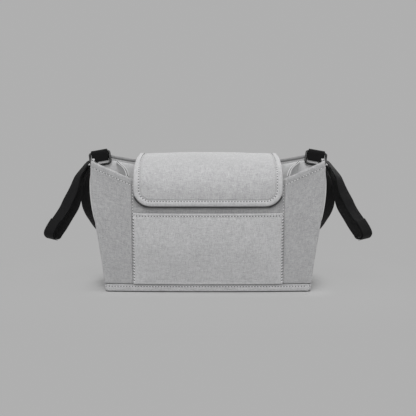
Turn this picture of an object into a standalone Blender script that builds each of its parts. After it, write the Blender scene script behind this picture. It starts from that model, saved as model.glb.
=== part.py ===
"""Stroller organizer: a padded fabric caddy with a flap, two cup holders, a slip pocket and handle straps.

Metres, +Z up. The origin is the middle of the base's underside, and the front faces -Y.
"""

import math

import bmesh
import bpy
from mathutils import Vector

# Body of the bag
BASE_WIDTH = 0.304
RIM_WIDTH = 0.340
BACK_RIM_WIDTH = 0.364
BASE_DEPTH = 0.112
RIM_DEPTH = 0.124
RIM_HEIGHT = 0.195
FRONT_BOW = 0.004
GAP = 0.0004

# Heights of the rim, measured down from the front corners
FRONT_DIP = 0.027
BACK_CORNER_DIP = 0.0005
BACK_DIP = 0.015
SIDE_DIP = 0.007
SIDE_NOTCH = 0.033
FRONT_SEAM_HALF = 0.110
BACK_LEVEL_HALF = 0.101
NOTCH_START = 0.030
NOTCH_END = 0.044

# Cloth and padding
WALL = 0.004
LINING = 0.001
LINING_DROP = 0.002
WEBBING = 0.0016
WEBBING_WIDTH = 0.028

# Base
BAND_HEIGHT = 0.0115
BASE_CLOTH = 0.0025
BASE_CORNER = 0.006
BASE_EDGE = 0.0022
BOARD = 0.002

# Front pocket
POCKET_HEIGHT = 0.107
POCKET_CLOTH = 0.0025
POCKET_PUFF = 0.008

# Flap
FLAP_HALF = 0.1065
FLAP_BORDER = 0.010
FLAP_CORNER = 0.025
FLAP_PAD = 0.004
FLAP_LINING = 0.0008
FLAP_LOW = 0.066
FLAP_CROWN = 0.0225
FLAP_STANDOFF = 0.0125
FLAP_EDGE_FALL = 0.0065
BACK_SEAM = 0.020

# Closure under the flap
PATCH_HALF = 0.030
PATCH_LOW = 0.135
PATCH_HIGH = 0.153
PATCH = 0.0014

# Rolled edges
ROLL_RADIUS = 0.0023
SIDE_ROLL_RADIUS = 0.0014

# Cup holders
DIVIDER = 0.002
DIVIDER_BACK = 0.143
DIVIDER_MIDDLE = 0.1265
DIVIDER_FRONT = 0.1175
DIVIDER_LEAN = 0.025
DIVIDER_BACK_DROP = 0.009
DIVIDER_FRONT_DROP = 0.023

# Tab and ring at each back corner
TAB_CENTRE = 0.1705
TAB_WIDTH = 0.026
TAB_TILT = math.radians(10)
TAB_LEG = 0.022
TAB_RISE = 0.0057
RING_BAR = 0.0018
RING_PLAY = 0.0008
RING_REACH = 0.0205
RING_CORNER = 0.0055
RING_BEND = 0.0026
RING_HANG = math.radians(21)
RING_RISE = 0.0068

# Strap at each side
STRAP_Y = 0.024
STRAP_UNIT = 0.001
PATCH_THICK = 0.001
TIP_LENGTH = 0.034
STRAP_STEPS = 4

COLLECTION = "stroller_organizer"


def material(name, colour, roughness, metallic=0.0):
    made = bpy.data.materials.new(name)
    made.use_nodes = True
    shader = made.node_tree.nodes["Principled BSDF"]
    shader.inputs["Base Color"].default_value = (*colour, 1.0)
    shader.inputs["Roughness"].default_value = roughness
    shader.inputs["Metallic"].default_value = metallic
    return made


def mix(low, high, share):
    return low + (high - low) * share


def smooth(share):
    share = min(1.0, max(0.0, share))
    return share * share * (3.0 - 2.0 * share)


# Outer faces of the bag

def half_depth(z):
    return mix(BASE_DEPTH, RIM_DEPTH, z / RIM_HEIGHT) / 2


def front_half(z):
    return mix(BASE_WIDTH, RIM_WIDTH, z / RIM_HEIGHT) / 2


def back_half(z):
    return mix(BASE_WIDTH, BACK_RIM_WIDTH, z / RIM_HEIGHT) / 2


def front_y(x, z):
    """The front panel's outer face, which bows forward between its corners."""
    across = min(1.0, abs(x) / front_half(z))
    return -half_depth(z) - FRONT_BOW * (1.0 - across * across)


def side_x(y, z):
    """The gusset's outer face, as a distance from the middle."""
    share = (y + half_depth(z)) / (2 * half_depth(z))
    return mix(front_half(z), back_half(z), share)


# Heights of the rim

def front_top(x):
    share = (abs(x) - FRONT_SEAM_HALF) / (RIM_WIDTH / 2 - FRONT_SEAM_HALF)
    return RIM_HEIGHT - FRONT_DIP * (1.0 - min(1.0, max(0.0, share)))


def back_top(x):
    share = (abs(x) - BACK_LEVEL_HALF) / (BACK_RIM_WIDTH / 2 - BACK_LEVEL_HALF)
    share = min(1.0, max(0.0, share))
    return RIM_HEIGHT - mix(BACK_DIP, BACK_CORNER_DIP, share)


def side_top(y):
    front = RIM_HEIGHT - SIDE_DIP * smooth((y + RIM_DEPTH / 2) / (RIM_DEPTH / 4))
    notch = (SIDE_NOTCH - SIDE_DIP) * smooth((y - NOTCH_START) / (NOTCH_END - NOTCH_START))
    return front - notch


# Builders

def catmull(points, samples):
    """A smooth curve through points of any length, as a list of tuples."""
    ends = [points[0], *points, points[-1]]
    curve = []
    spans = len(points) - 1
    for step in range(samples + 1):
        place = step / samples * spans
        span = min(int(place), spans - 1)
        t = place - span
        p0, p1, p2, p3 = ends[span : span + 4]
        curve.append(tuple(
            0.5 * (2 * b + (c - a) * t + (2 * a - 5 * b + 4 * c - d) * t * t
                   + (3 * b - a - 3 * c + d) * t ** 3)
            for a, b, c, d in zip(p0, p1, p2, p3)
        ))
    return curve


def along(points, share):
    """The point at a share of the length of a list of points."""
    lengths = [0.0]
    for a, b in zip(points, points[1:]):
        lengths.append(lengths[-1] + math.dist(a[:3], b[:3]))
    target = share * lengths[-1]
    for index in range(1, len(points)):
        if lengths[index] >= target:
            part = (target - lengths[index - 1]) / (lengths[index] - lengths[index - 1])
            return tuple(mix(a, b, part) for a, b in zip(points[index - 1], points[index]))
    return tuple(points[-1])


def keep(name, mesh, look):
    obj = bpy.data.objects.new(name, mesh)
    mesh.materials.append(look)
    parts.objects.link(obj)
    return obj


def sheet(name, place, columns, rows, thickness, outward, look, offset=-1.0):
    """A grid laid on a curved face by place(u, v), with u and v from 0 to 1, then thickened."""
    mesh = bpy.data.meshes.new(name)
    grid = bmesh.new()
    bmesh.ops.create_grid(grid, x_segments=columns, y_segments=rows, size=0.5)
    for vertex in grid.verts:
        vertex.co = Vector(place(vertex.co.x + 0.5, vertex.co.y + 0.5))
    grid.normal_update()
    facing = sum((face.normal.dot(outward(face.calc_center_median())) for face in grid.faces))
    if facing < 0:
        bmesh.ops.reverse_faces(grid, faces=grid.faces)
    grid.to_mesh(mesh)
    grid.free()
    mesh.shade_smooth()
    obj = keep(name, mesh, look)
    thicken(obj, thickness, offset)
    return obj


def thicken(obj, thickness, offset=-1.0):
    shell = obj.modifiers.new("thickness", "SOLIDIFY")
    shell.thickness = thickness
    shell.offset = offset
    shell.use_even_offset = True
    shell.use_rim = True


def tube(name, points, radius, look, closed=False):
    curve = bpy.data.curves.new(name, "CURVE")
    curve.dimensions = "3D"
    curve.bevel_depth = radius
    curve.bevel_resolution = 2
    curve.use_fill_caps = not closed
    spline = curve.splines.new("POLY")
    spline.points.add(len(points) - 1)
    for spot, point in zip(spline.points, points):
        spot.co = (*point, 1.0)
    spline.use_cyclic_u = closed
    obj = bpy.data.objects.new(name, curve)
    curve.materials.append(look)
    parts.objects.link(obj)
    return obj


def rings_mesh(name, rings, look):
    """A tray lofted up through closed rings of points, with a floor at the first ring."""
    mesh = bpy.data.meshes.new(name)
    shape = bmesh.new()
    loops = [[shape.verts.new(point) for point in ring] for ring in rings]
    shape.faces.new(loops[0])
    for low, high in zip(loops, loops[1:]):
        count = len(low)
        for index in range(count):
            after = (index + 1) % count
            shape.faces.new((low[index], low[after], high[after], high[index]))
    bmesh.ops.recalc_face_normals(shape, faces=shape.faces)
    shape.to_mesh(mesh)
    shape.free()
    return keep(name, mesh, look)


def plan_ring(inset, corner, height):
    """Points round the bag at an inset from its outer face; height(x, y) gives each point's z."""
    along_front, along_side, in_corner = 12, 8, 3
    ring = []

    def add(x, y):
        ring.append((x, y))

    reach_x = BASE_WIDTH / 2 - inset
    reach_y = BASE_DEPTH / 2 - inset
    for step in range(along_front + 1):
        x = mix(-(reach_x - corner), reach_x - corner, step / along_front)
        add(x, -reach_y)
    corners = ((reach_x - corner, -(reach_y - corner), -90), (reach_x - corner, reach_y - corner, 0),
               (-(reach_x - corner), reach_y - corner, 90), (-(reach_x - corner), -(reach_y - corner), 180))
    for number, (cx, cy, start) in enumerate(corners):
        for step in range(1, in_corner + 1):
            angle = math.radians(start + 90 * step / (in_corner + (number == 3)))
            add(cx + corner * math.cos(angle), cy + corner * math.sin(angle))
        if number in (0, 2):
            side = 1 if number == 0 else -1
            for step in range(1, along_side + 1):
                add(side * reach_x, mix(-side * (reach_y - corner), side * (reach_y - corner), step / along_side))
        if number == 1:
            for step in range(1, along_front + 1):
                add(mix(reach_x - corner, -(reach_x - corner), step / along_front), reach_y)
    placed = []
    for x, y in ring:
        z = height(x, y)
        depth_share = (y + reach_y) / (2 * reach_y)
        half = mix(front_half(z), back_half(z), depth_share) - inset
        wide = x / reach_x * half
        deep = y / reach_y * (half_depth(z) - inset)
        forward = FRONT_BOW * (1.0 - min(1.0, abs(wide) / half) ** 2) * max(0.0, -y / reach_y)
        placed.append((wide, deep - forward, z))
    return placed


# Pieces of the bag

def base_tray(look):
    """Base cloth, turned up all round as the band under the walls."""
    floor = plan_ring(0.0, BASE_CORNER, lambda x, y: 0.0)
    top = plan_ring(0.0, BASE_CORNER, lambda x, y: BAND_HEIGHT)
    tray = rings_mesh("base_tray", [floor, top], look)
    edge = tray.modifiers.new("edge", "BEVEL")
    edge.width = BASE_EDGE
    edge.segments = 2
    edge.limit_method = "ANGLE"
    edge.angle_limit = math.radians(60)
    thicken(tray, BASE_CLOTH)
    return tray


def base_board(look):
    inset = BASE_CLOTH + 2 * GAP
    low = BASE_CLOTH + GAP
    rings = [plan_ring(inset, BASE_CORNER, lambda x, y: low),
             plan_ring(inset, BASE_CORNER, lambda x, y: low + BOARD)]
    board = rings_mesh("base_board", rings, look)
    shape = bmesh.new()
    shape.from_mesh(board.data)
    bmesh.ops.holes_fill(shape, edges=shape.edges)
    bmesh.ops.recalc_face_normals(shape, faces=shape.faces)
    shape.to_mesh(board.data)
    shape.free()
    return board


def wall_foot():
    return BAND_HEIGHT + GAP


def front_panel(look):
    def place(u, v):
        x_top = mix(-RIM_WIDTH / 2, RIM_WIDTH / 2, u)
        z = mix(wall_foot(), front_top(x_top), v)
        x = mix(-front_half(z), front_half(z), u)
        return x, front_y(x, z), z

    return sheet("front_panel", place, 34, 4, WALL, lambda at: Vector((0, -1, 0)), look)


def back_panel(look):
    def place(u, v):
        x_top = mix(-BACK_RIM_WIDTH / 2, BACK_RIM_WIDTH / 2, u)
        z = mix(wall_foot(), back_top(x_top), v)
        x = mix(-back_half(z), back_half(z), u)
        return x, half_depth(z), z

    return sheet("back_panel", place, 24, 4, WALL, lambda at: Vector((0, 1, 0)), look)


def gusset(name, side, look):
    def place(u, v):
        y_top = mix(-RIM_DEPTH / 2 + WALL + GAP, RIM_DEPTH / 2 - WALL - GAP, u)
        z = mix(wall_foot(), side_top(y_top), v)
        y = mix(-half_depth(z) + WALL + GAP, half_depth(z) - WALL - GAP, u)
        return side * side_x(y, z), y, z

    return sheet(name, place, 44, 3, WALL, lambda at: Vector((side, 0, 0)), look)


def lining(look):
    """Skin inside the walls, open at the top."""
    inset = WALL + GAP
    floor_z = BASE_CLOTH + BOARD + LINING + 3 * GAP
    reach_y = BASE_DEPTH / 2 - inset

    def rim(x, y):
        wide = x / (BASE_WIDTH / 2) * (RIM_WIDTH / 2)
        if y <= -reach_y + 1e-6:
            top = front_top(wide)
        elif y >= reach_y - 1e-6:
            top = back_top(x / (BASE_WIDTH / 2) * (BACK_RIM_WIDTH / 2))
        else:
            top = side_top(y / (BASE_DEPTH / 2) * (RIM_DEPTH / 2))
        return top - LINING_DROP

    rings = [plan_ring(inset, BASE_CORNER, lambda x, y: floor_z - LINING)]
    for share in (0.06, 0.3, 0.55, 0.8, 1.0):
        rings.append(plan_ring(inset, BASE_CORNER, lambda x, y: mix(floor_z, rim(x, y), share)))
    skin = rings_mesh("lining", rings, look)
    thicken(skin, LINING)
    return skin


def front_pocket(look):
    low = wall_foot()

    def place(u, v):
        z = mix(low, low + POCKET_HEIGHT, v)
        x = mix(-FRONT_SEAM_HALF, FRONT_SEAM_HALF, u)
        across = abs(x) / FRONT_SEAM_HALF
        puff = POCKET_PUFF * math.sqrt(max(0.0, 1.0 - across ** 4)) * smooth(v * 1.6)
        return x, front_y(x, z) - GAP - POCKET_CLOTH - puff, z

    return sheet("front_pocket", place, 22, 8, POCKET_CLOTH, lambda at: Vector((0, -1, 0)), look)


# Flap

def flap_profile():
    """The flap's outer face in side view, from its back seam over the rim and down the front."""
    back_low = RIM_HEIGHT - BACK_DIP
    back = half_depth(back_low) + flap_thick() + GAP
    seam = half_depth(back_low - BACK_SEAM) + flap_thick() + GAP
    bead = 2 * ROLL_RADIUS
    crown = back_low + FLAP_CROWN
    low = RIM_HEIGHT - FLAP_LOW
    front = half_depth(low) + FRONT_BOW
    shoulder = RIM_HEIGHT - FRONT_DIP
    points = [
        (seam, back_low - BACK_SEAM),
        (back + 0.0002, back_low - 0.009),
        (back + 0.0026, back_low + bead + 0.0020),
        (back - 0.0030, back_low + bead + 0.0120),
        (back - 0.0250, crown - 0.0004),
        (0.012, crown + 0.0002),
        (-0.018, crown - 0.0020),
        (-0.042, crown - 0.0080),
        (-front + 0.0010, shoulder + 0.0170),
        (-front - FLAP_STANDOFF * 0.80, shoulder + 0.0010),
        (-front - FLAP_STANDOFF, mix(shoulder, low, 0.5)),
        (-front - FLAP_STANDOFF * 0.96, low),
    ]
    return catmull(points, 60)


def flap_thick():
    return FLAP_PAD + FLAP_LINING + 2 * GAP


def flap_spot(x, share, depth=0.0):
    """A point of the flap at x, at a share of its length, at a depth under its outer face."""
    profile = PROFILE
    y, z = along(profile, share)
    y_before, z_before = along(profile, max(0.0, share - 0.01))
    y_after, z_after = along(profile, min(1.0, share + 0.01))
    run = Vector((0, y_after - y_before, z_after - z_before)).normalized()
    normal = Vector((0, run.z, -run.y))
    across = x / FLAP_HALF
    rise = smooth((share - 0.14) / 0.2) * (1.0 - 0.75 * smooth((share - 0.5) / 0.3))
    fall = FLAP_EDGE_FALL * abs(across) ** 2.6 * rise
    spot = Vector((x, y, z)) - normal * (fall + depth)
    return spot


def flap_length():
    return sum(math.dist(a, b) for a, b in zip(PROFILE, PROFILE[1:]))


def flap_end(x, inset):
    """How far down the flap reaches at x, as a share, with its lower corners rounded."""
    half = FLAP_HALF - inset
    radius = FLAP_CORNER - inset
    over = max(0.0, abs(x) - (half - radius))
    lift = radius - math.sqrt(max(0.0, radius * radius - over * over))
    return 1.0 - (inset + lift) / flap_length()


def eased(u):
    """Columns closer together near the two sides."""
    return 0.5 - 0.5 * math.cos(math.pi * u)


def flap_up(at):
    return Vector((0, at.y * 0.6, 1.0 if at.z > RIM_HEIGHT - 0.012 else 0.05))


def flap(look):
    inset = FLAP_BORDER + GAP

    def place(u, v):
        half = FLAP_HALF - inset
        x = mix(-half, half, mix(u, eased(u), 0.8))
        return flap_spot(x, flap_end(x, inset) * v)

    return sheet("flap", place, 18, 26, FLAP_PAD, flap_up, look)


def flap_lining(look):
    inset = FLAP_BORDER + 3 * GAP

    def place(u, v):
        half = FLAP_HALF - inset
        x = mix(-half, half, mix(u, eased(u), 0.8))
        return flap_spot(x, flap_end(x, inset) * v, FLAP_PAD + 2 * GAP)

    return sheet("flap_lining", place, 18, 26, FLAP_LINING, flap_up, look)


def flap_binding(look):
    """Border strip down both sides and round the front of the flap."""
    straight = flap_length() - FLAP_CORNER
    side_steps, corner_steps, front_steps = 26, 8, 16

    def edge(step):
        """Outline point and inward direction on the flat flap, as x and distance from the back."""
        if step <= side_steps:
            return -FLAP_HALF, straight * step / side_steps, 1.0, 0.0
        step -= side_steps
        if step <= corner_steps:
            angle = math.pi / 2 * step / corner_steps
            x = -(FLAP_HALF - FLAP_CORNER) - FLAP_CORNER * math.cos(angle)
            return x, straight + FLAP_CORNER * math.sin(angle), math.cos(angle), -math.sin(angle)
        step -= corner_steps
        return mix(-(FLAP_HALF - FLAP_CORNER), 0.0, step / (front_steps / 2)), flap_length(), 0.0, -1.0

    half_count = side_steps + corner_steps + front_steps // 2

    def place(u, v):
        step = round(u * 2 * half_count)
        mirrored = step > half_count
        x, distance, inward_x, inward_d = edge(2 * half_count - step if mirrored else step)
        x += inward_x * FLAP_BORDER * v
        distance += inward_d * FLAP_BORDER * v
        return flap_spot(-x if mirrored else x, distance / flap_length())

    thick = flap_thick()
    return sheet("flap_binding", place, 2 * half_count, 2, thick, flap_up, look)


def hook_patch(look):
    """Hook half of the flap's closure, on the flap lining."""
    length = flap_length()
    high = 1.0 - (PATCH_HIGH - (RIM_HEIGHT - FLAP_LOW)) / length
    low = 1.0 - (PATCH_LOW - (RIM_HEIGHT - FLAP_LOW)) / length

    def place(u, v):
        return flap_spot(mix(-PATCH_HALF, PATCH_HALF, u), mix(high, low, v), flap_thick() + GAP)

    return sheet("closure_hook_patch", place, 6, 3, PATCH, lambda at: Vector((0, -1, 0)), look)


def loop_patch(look):
    """Loop half of the closure, on the front panel."""
    def place(u, v):
        x = mix(-PATCH_HALF, PATCH_HALF, u)
        z = mix(PATCH_LOW, PATCH_HIGH, v)
        return x, front_y(x, z) - GAP - PATCH, z

    return sheet("closure_loop_patch", place, 6, 3, PATCH, lambda at: Vector((0, -1, 0)), look)


# Rolled edges of the rim

def back_roll(look):
    reach = TAB_CENTRE - TAB_WIDTH / 2 - 0.002
    points = []
    for step in range(31):
        x = mix(-reach, reach, step / 30)
        z = back_top(x) + GAP + ROLL_RADIUS
        points.append((x, half_depth(z) - WALL / 2, z))
    return tube("back_rim_binding", points, ROLL_RADIUS, look)


def side_roll(name, side, look):
    points = []
    lift = SIDE_ROLL_RADIUS + 2 * GAP
    reach = RIM_DEPTH / 2 - WALL - 0.004
    for step in range(33):
        y = mix(-reach, reach, step / 32)
        slope = (side_top(y + 0.001) - side_top(y - 0.001)) / 0.002
        length = math.hypot(1.0, slope)
        z = side_top(y) + lift / length
        points.append((side * (side_x(y, z) - WALL / 2), y - lift * slope / length, z))
    return tube(name, points, SIDE_ROLL_RADIUS, look)


# Cup dividers

def inner_front(x, z):
    return front_y(x, z) + WALL + LINING + 3 * GAP


def inner_back(z):
    return half_depth(z) - WALL - LINING - 3 * GAP


def cup_divider(name, side, look):
    """Curved wall from the back to the front that closes off a cup holder."""
    floor_z = BASE_CLOTH + BOARD + LINING + 5 * GAP

    def place(u, v):
        top = RIM_HEIGHT - mix(DIVIDER_BACK_DROP, DIVIDER_FRONT_DROP, u)
        z = mix(floor_z, top, v)
        across = catmull([(DIVIDER_BACK,), (DIVIDER_MIDDLE,), (DIVIDER_FRONT,)], 40)
        x = across[min(40, round(u * 40))][0] - DIVIDER_LEAN * (1.0 - v)
        y = mix(inner_back(z), inner_front(x, z), u)
        return side * x, y, z

    return sheet(name, place, 20, 6, DIVIDER, lambda at: Vector((-side, 0, 0)), look, 0.0)


# Tab and ring

def corner_frame(side):
    """Axis of a tab, which rises towards the middle, with the tab's centre on the back rim."""
    centre = Vector((side * TAB_CENTRE, 0, back_top(TAB_CENTRE)))
    axis = Vector((-side * math.cos(TAB_TILT), 0, math.sin(TAB_TILT)))
    up = Vector((side * math.sin(TAB_TILT), 0, math.cos(TAB_TILT)))
    return centre, axis, up


def tab_faces():
    """Middle of the tab's outer and inner leg, in Y."""
    z = RIM_HEIGHT - TAB_LEG / 2
    outer = half_depth(RIM_HEIGHT) + GAP + WEBBING / 2
    inner = half_depth(z - TAB_LEG / 2) - WALL - LINING - 3 * GAP - WEBBING / 2
    return outer, inner


def webbing_tab(name, side, look):
    centre, axis, up = corner_frame(side)
    outer, inner = tab_faces()
    middle = (outer + inner) / 2
    radius = (outer - inner) / 2
    route = [(outer, -TAB_LEG), (outer, -TAB_LEG / 2), (outer, 0.0), (outer, TAB_RISE * 0.6)]
    for step in range(9):
        angle = math.pi * step / 8
        route.append((middle + radius * math.cos(angle), TAB_RISE + radius * math.sin(angle)))
    route += [(inner, TAB_RISE * 0.6), (inner, 0.0), (inner, -TAB_LEG / 2), (inner, -TAB_LEG)]

    def place(u, v):
        y, rise = route[round(v * (len(route) - 1))]
        spot = centre + axis * (TAB_WIDTH * (u - 0.5)) + up * rise
        return spot.x, y, spot.z

    def outward(at):
        return Vector((0, at.y - middle, 0.002))

    return sheet(name, place, 3, len(route) - 1, WEBBING, outward, look, 0.0)


def ring_axis(side):
    """Centre of the ring's upper bar, which is the line that the ring swings about."""
    centre, axis, up = corner_frame(side)
    outer, inner = tab_faces()
    spot = centre + up * RING_RISE
    return Vector((spot.x, (outer + inner) / 2 - 0.0004, spot.z)), axis, up


def plastic_ring(name, side, look):
    """Rounded rectangular ring that hangs from its upper bar inside the tab."""
    origin, axis, up = ring_axis(side)
    hang = -up * math.cos(RING_HANG) + Vector((0, -math.sin(RING_HANG), 0))
    half = TAB_WIDTH / 2 + RING_PLAY + RING_BAR
    corners = ((half, 0.0, -90), (half, RING_REACH, 0), (-half, RING_REACH, 90), (-half, 0.0, 180))
    points = []
    for across, down, start in corners:
        turn = RING_BEND if down == 0.0 else RING_CORNER
        cx = across - math.copysign(turn, across)
        cy = turn if down == 0.0 else down - turn
        for step in range(5):
            angle = math.radians(start + 90 * step / 4)
            local = (cx + turn * math.cos(angle), cy + turn * math.sin(angle))
            points.append(axis * local[0] + hang * local[1])
    ring = tube(name, points, RING_BAR, look, closed=True)
    ring.location = origin
    return ring


# Straps

def strap_route(side):
    """Centre line of the webbing and the turn of its width, from the sewn foot to the closed end.

    Each row: stand-off from the gusset, place along the side and height from the side rim,
    in strap units, and the turn of the width in degrees.
    """
    seat = (GAP + WEBBING / 2) / STRAP_UNIT + 0.3
    rows = [
        (seat, 0.0, -152, 88.5), (seat, 0.0, -140, 88.3), (seat + 0.1, 0.0, -128, 88),
        (3.8, 0.0, -118, 85), (9.5, -1.0, -108, 78), (12.7, -1.5, -101, 72),
        (16.0, -2.5, -91, 65), (18.5, -3.5, -82, 58), (20.0, -5.0, -71, 53),
        (19.9, -5.5, -58, 53), (18.3, -5.5, -43, 56), (14.0, -4.0, -28, 66),
        (8.0, -1.5, -15, 78), (2.2, 0.0, -6, 84), (4.2, 0.0, -1.0, 84),
        (10.3, -2.5, -3.5, 84), (19.3, -7.0, -12, 81), (28.2, -12.0, -23, 75),
        (30.8, -14.0, -30, 66), (32.8, -15.0, -37, 57), (37.5, -17.0, -46, 52),
        (45.2, -21.5, -58, 50), (53.8, -26.0, -72, 50), (69.7, -35.0, -93, 50),
        (77.3, -40.0, -105.5, 50), (78.8, -41.0, -112, 50), (76.4, -38.5, -117.7, 50),
        (71.5, -34.5, -117, 50), (68.0, -32.0, -112, 50), (59.9, -28.0, -101, 50),
        (49.8, -22.0, -86, 50), (41.0, -17.0, -73, 50), (36.5, -14.0, -65, 51),
        (31.7, -11.5, -54, 53), (26.9, -9.0, -42, 57), (24.6, -8.0, -32, 62),
    ]
    rim = RIM_HEIGHT - SIDE_DIP
    route = []
    for off, run, drop, turn in rows:
        y = STRAP_Y + run * STRAP_UNIT
        z = rim + drop * STRAP_UNIT
        route.append((side * (side_x(y, z) + off * STRAP_UNIT), y, z, math.radians(turn)))
    return catmull(route, STRAP_STEPS * (len(route) - 1))


def ribbon_spot(route, share, across, lift, side):
    """A point of a ribbon, at a share of its route, across its width, lifted off its face."""
    x, y, z, turn = along(route, share)
    before = Vector(along(route, max(0.0, share - 0.004))[:3])
    after = Vector(along(route, min(1.0, share + 0.004))[:3])
    run = (after - before).normalized()
    wide = Vector((-side * math.cos(turn), -math.sin(turn), 0))
    wide = (wide - run * wide.dot(run)).normalized()
    face = wide.cross(run) * side
    return Vector((x, y, z)) + wide * across + face * lift


def route_length(route):
    return sum(math.dist(a[:3], b[:3]) for a, b in zip(route, route[1:]))


def strap(name, side, look):
    route = strap_route(side)

    def place(u, v):
        return ribbon_spot(route, v, WEBBING_WIDTH * (u - 0.5), 0.0, side)

    return sheet(name, place, 1, 120, WEBBING, lambda at: Vector((0, -1, 0)), look, 0.0)


def tip_patch(name, side, look):
    """Smooth grip patch round the fold at the strap's outer end."""
    route = strap_route(side)
    lift = WEBBING / 2 + GAP + PATCH_THICK / 2
    tail = route[len(route) // 2 :]
    lowest = len(route) // 2 + tail.index(min(tail, key=lambda spot: spot[2]))
    fold = route_length(route[: lowest + 1])
    total = route_length(route)

    def place(u, v):
        share = (fold - TIP_LENGTH * (1.0 - v)) / total
        return ribbon_spot(route, share, WEBBING_WIDTH * (u - 0.5), lift, side)

    return sheet(name, place, 1, 16, PATCH_THICK, lambda at: Vector((side, -1, -0.5)), look, 0.0)


def build():
    fabric = material("heather_cloth", (0.40, 0.40, 0.41), 0.9)
    border = material("binding_cloth", (0.46, 0.46, 0.47), 0.85)
    inner = material("lining_cloth", (0.45, 0.45, 0.46), 0.8)
    board = material("board", (0.30, 0.30, 0.30), 0.8)
    webbing = material("black_webbing", (0.012, 0.012, 0.013), 0.7)
    plastic = material("black_plastic", (0.010, 0.010, 0.011), 0.25)
    hooks = material("hook_and_loop", (0.35, 0.35, 0.36), 0.9)
    base_tray(fabric)
    base_board(board)
    front_panel(fabric)
    back_panel(fabric)
    lining(inner)
    front_pocket(fabric)
    flap(fabric)
    flap_lining(inner)
    flap_binding(border)
    hook_patch(hooks)
    loop_patch(hooks)
    back_roll(border)
    for label, side in (("left", -1), ("right", 1)):
        gusset(f"side_gusset_{label}", side, fabric)
        side_roll(f"side_rim_binding_{label}", side, border)
        cup_divider(f"cup_divider_{label}", side, inner)
        webbing_tab(f"ring_tab_{label}", side, webbing)
        plastic_ring(f"ring_{label}", side, plastic)
        strap(f"strap_{label}", side, webbing)
        tip_patch(f"strap_tip_patch_{label}", side, webbing)


for leftover in list(bpy.data.objects):
    bpy.data.objects.remove(leftover, do_unlink=True)
parts = bpy.data.collections.new(COLLECTION)
bpy.context.scene.collection.children.link(parts)
PROFILE = flap_profile()
build()
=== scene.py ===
"""Stroller organizer: padded cloth, webbing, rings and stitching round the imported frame."""

import math

import bmesh
import bpy
from bpy.props import FloatProperty, FloatVectorProperty, IntProperty, PointerProperty
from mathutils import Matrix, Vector, noise
from mathutils.bvhtree import BVHTree


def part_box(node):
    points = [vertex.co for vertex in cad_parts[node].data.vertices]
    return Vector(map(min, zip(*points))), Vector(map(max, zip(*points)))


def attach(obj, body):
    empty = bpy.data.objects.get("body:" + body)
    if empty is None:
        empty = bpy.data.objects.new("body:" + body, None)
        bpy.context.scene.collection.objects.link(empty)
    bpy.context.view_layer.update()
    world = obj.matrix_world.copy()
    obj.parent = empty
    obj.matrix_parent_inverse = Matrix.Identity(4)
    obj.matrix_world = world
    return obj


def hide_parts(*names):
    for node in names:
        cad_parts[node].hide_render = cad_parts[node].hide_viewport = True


bl_info = {
    "name": "Stroller Organizer",
    "version": (1, 0, 0),
    "blender": (4, 5, 0),
    "location": "3D View > Sidebar > Organizer",
    "description": "Dresses the frame of a stroller organizer in padded cloth, webbing and stitching",
    "category": "Object",
}

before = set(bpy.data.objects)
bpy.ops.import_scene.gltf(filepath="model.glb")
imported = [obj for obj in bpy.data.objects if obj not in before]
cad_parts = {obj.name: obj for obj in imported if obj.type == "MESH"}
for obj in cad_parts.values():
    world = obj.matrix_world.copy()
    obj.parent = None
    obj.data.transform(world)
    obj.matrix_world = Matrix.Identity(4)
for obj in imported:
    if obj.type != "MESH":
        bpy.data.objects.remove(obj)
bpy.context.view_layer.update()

# Sizes of the bag, read from the frame
RIM_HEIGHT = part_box("front_panel")[1].z
RIM_WIDTH = 2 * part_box("front_panel")[1].x
BACK_RIM_WIDTH = 2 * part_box("back_panel")[1].x
RIM_DEPTH = 2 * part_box("back_panel")[1].y
WALL_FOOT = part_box("front_panel")[0].z
POCKET_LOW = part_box("front_pocket")[0].z
POCKET_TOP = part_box("front_pocket")[1].z
SEAM_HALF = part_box("front_pocket")[1].x
FLAP_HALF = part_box("flap_binding")[1].x + 0.0015
FLAP_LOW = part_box("flap_binding")[0].z

# Sizes of the bag that no box shows
BASE_WIDTH = 0.304
BASE_DEPTH = 0.112
FRONT_BOW = 0.004
FRONT_DIP = 0.027
BACK_CORNER_DIP = 0.0005
BACK_DIP = 0.015
SIDE_DIP = 0.007
SIDE_NOTCH = 0.033
BACK_LEVEL_HALF = 0.101
NOTCH_START = 0.030
NOTCH_END = 0.044
GAP = 0.0004
WALL = 0.004
LINING = 0.001
LINING_DROP = 0.002
BAND_HEIGHT = 0.0115
BASE_CORNER = 0.006
BASE_CLOTH = 0.0025
BASE_EDGE = 0.0022

# Seams, and the ridge that the cloth forms beside the two seams of the front
FRONT_SEAM = SEAM_HALF + 0.0002
FRONT_RIDGE_AT = SEAM_HALF + 0.0024
FRONT_RIDGE = 0.0020
BAND_SEAM = BAND_HEIGHT - 0.0030

# Pocket
POCKET_CLOTH = 0.0025
POCKET_PUFF = 0.008
POCKET_HEM = 0.0040
POCKET_SEAM = 0.0017

# Flap
FLAP_BORDER = 0.010
FLAP_CORNER = 0.025
FLAP_PAD = 0.004
FLAP_LINING = 0.0008
FLAP_CROWN = 0.0225
FLAP_STANDOFF = 0.0125
FLAP_EDGE_FALL = 0.0065
BACK_SEAM = 0.020
BORDER_SEAM = 0.0078
FLAP_TUCK = 0.0006

# Rims and dividers
ROLL_RADIUS = 0.0023
ROLL_FULLNESS = 1.2
SIDE_ROLL_RADIUS = 0.0014
GUSSET_REACH = RIM_DEPTH / 2 - WALL - 0.004
DIVIDER = 0.002
DIVIDER_ROUTE = (0.143, 0.1265, 0.1175)
DIVIDER_LEAN = 0.025
DIVIDER_BACK_DROP = 0.009
DIVIDER_FRONT_DROP = 0.023

# How far the filled bag swells at its sides, and its front wall under the edge of the flap
SIDE_SWELL = 0.0055
FRONT_SWELL = 0.0045

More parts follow.
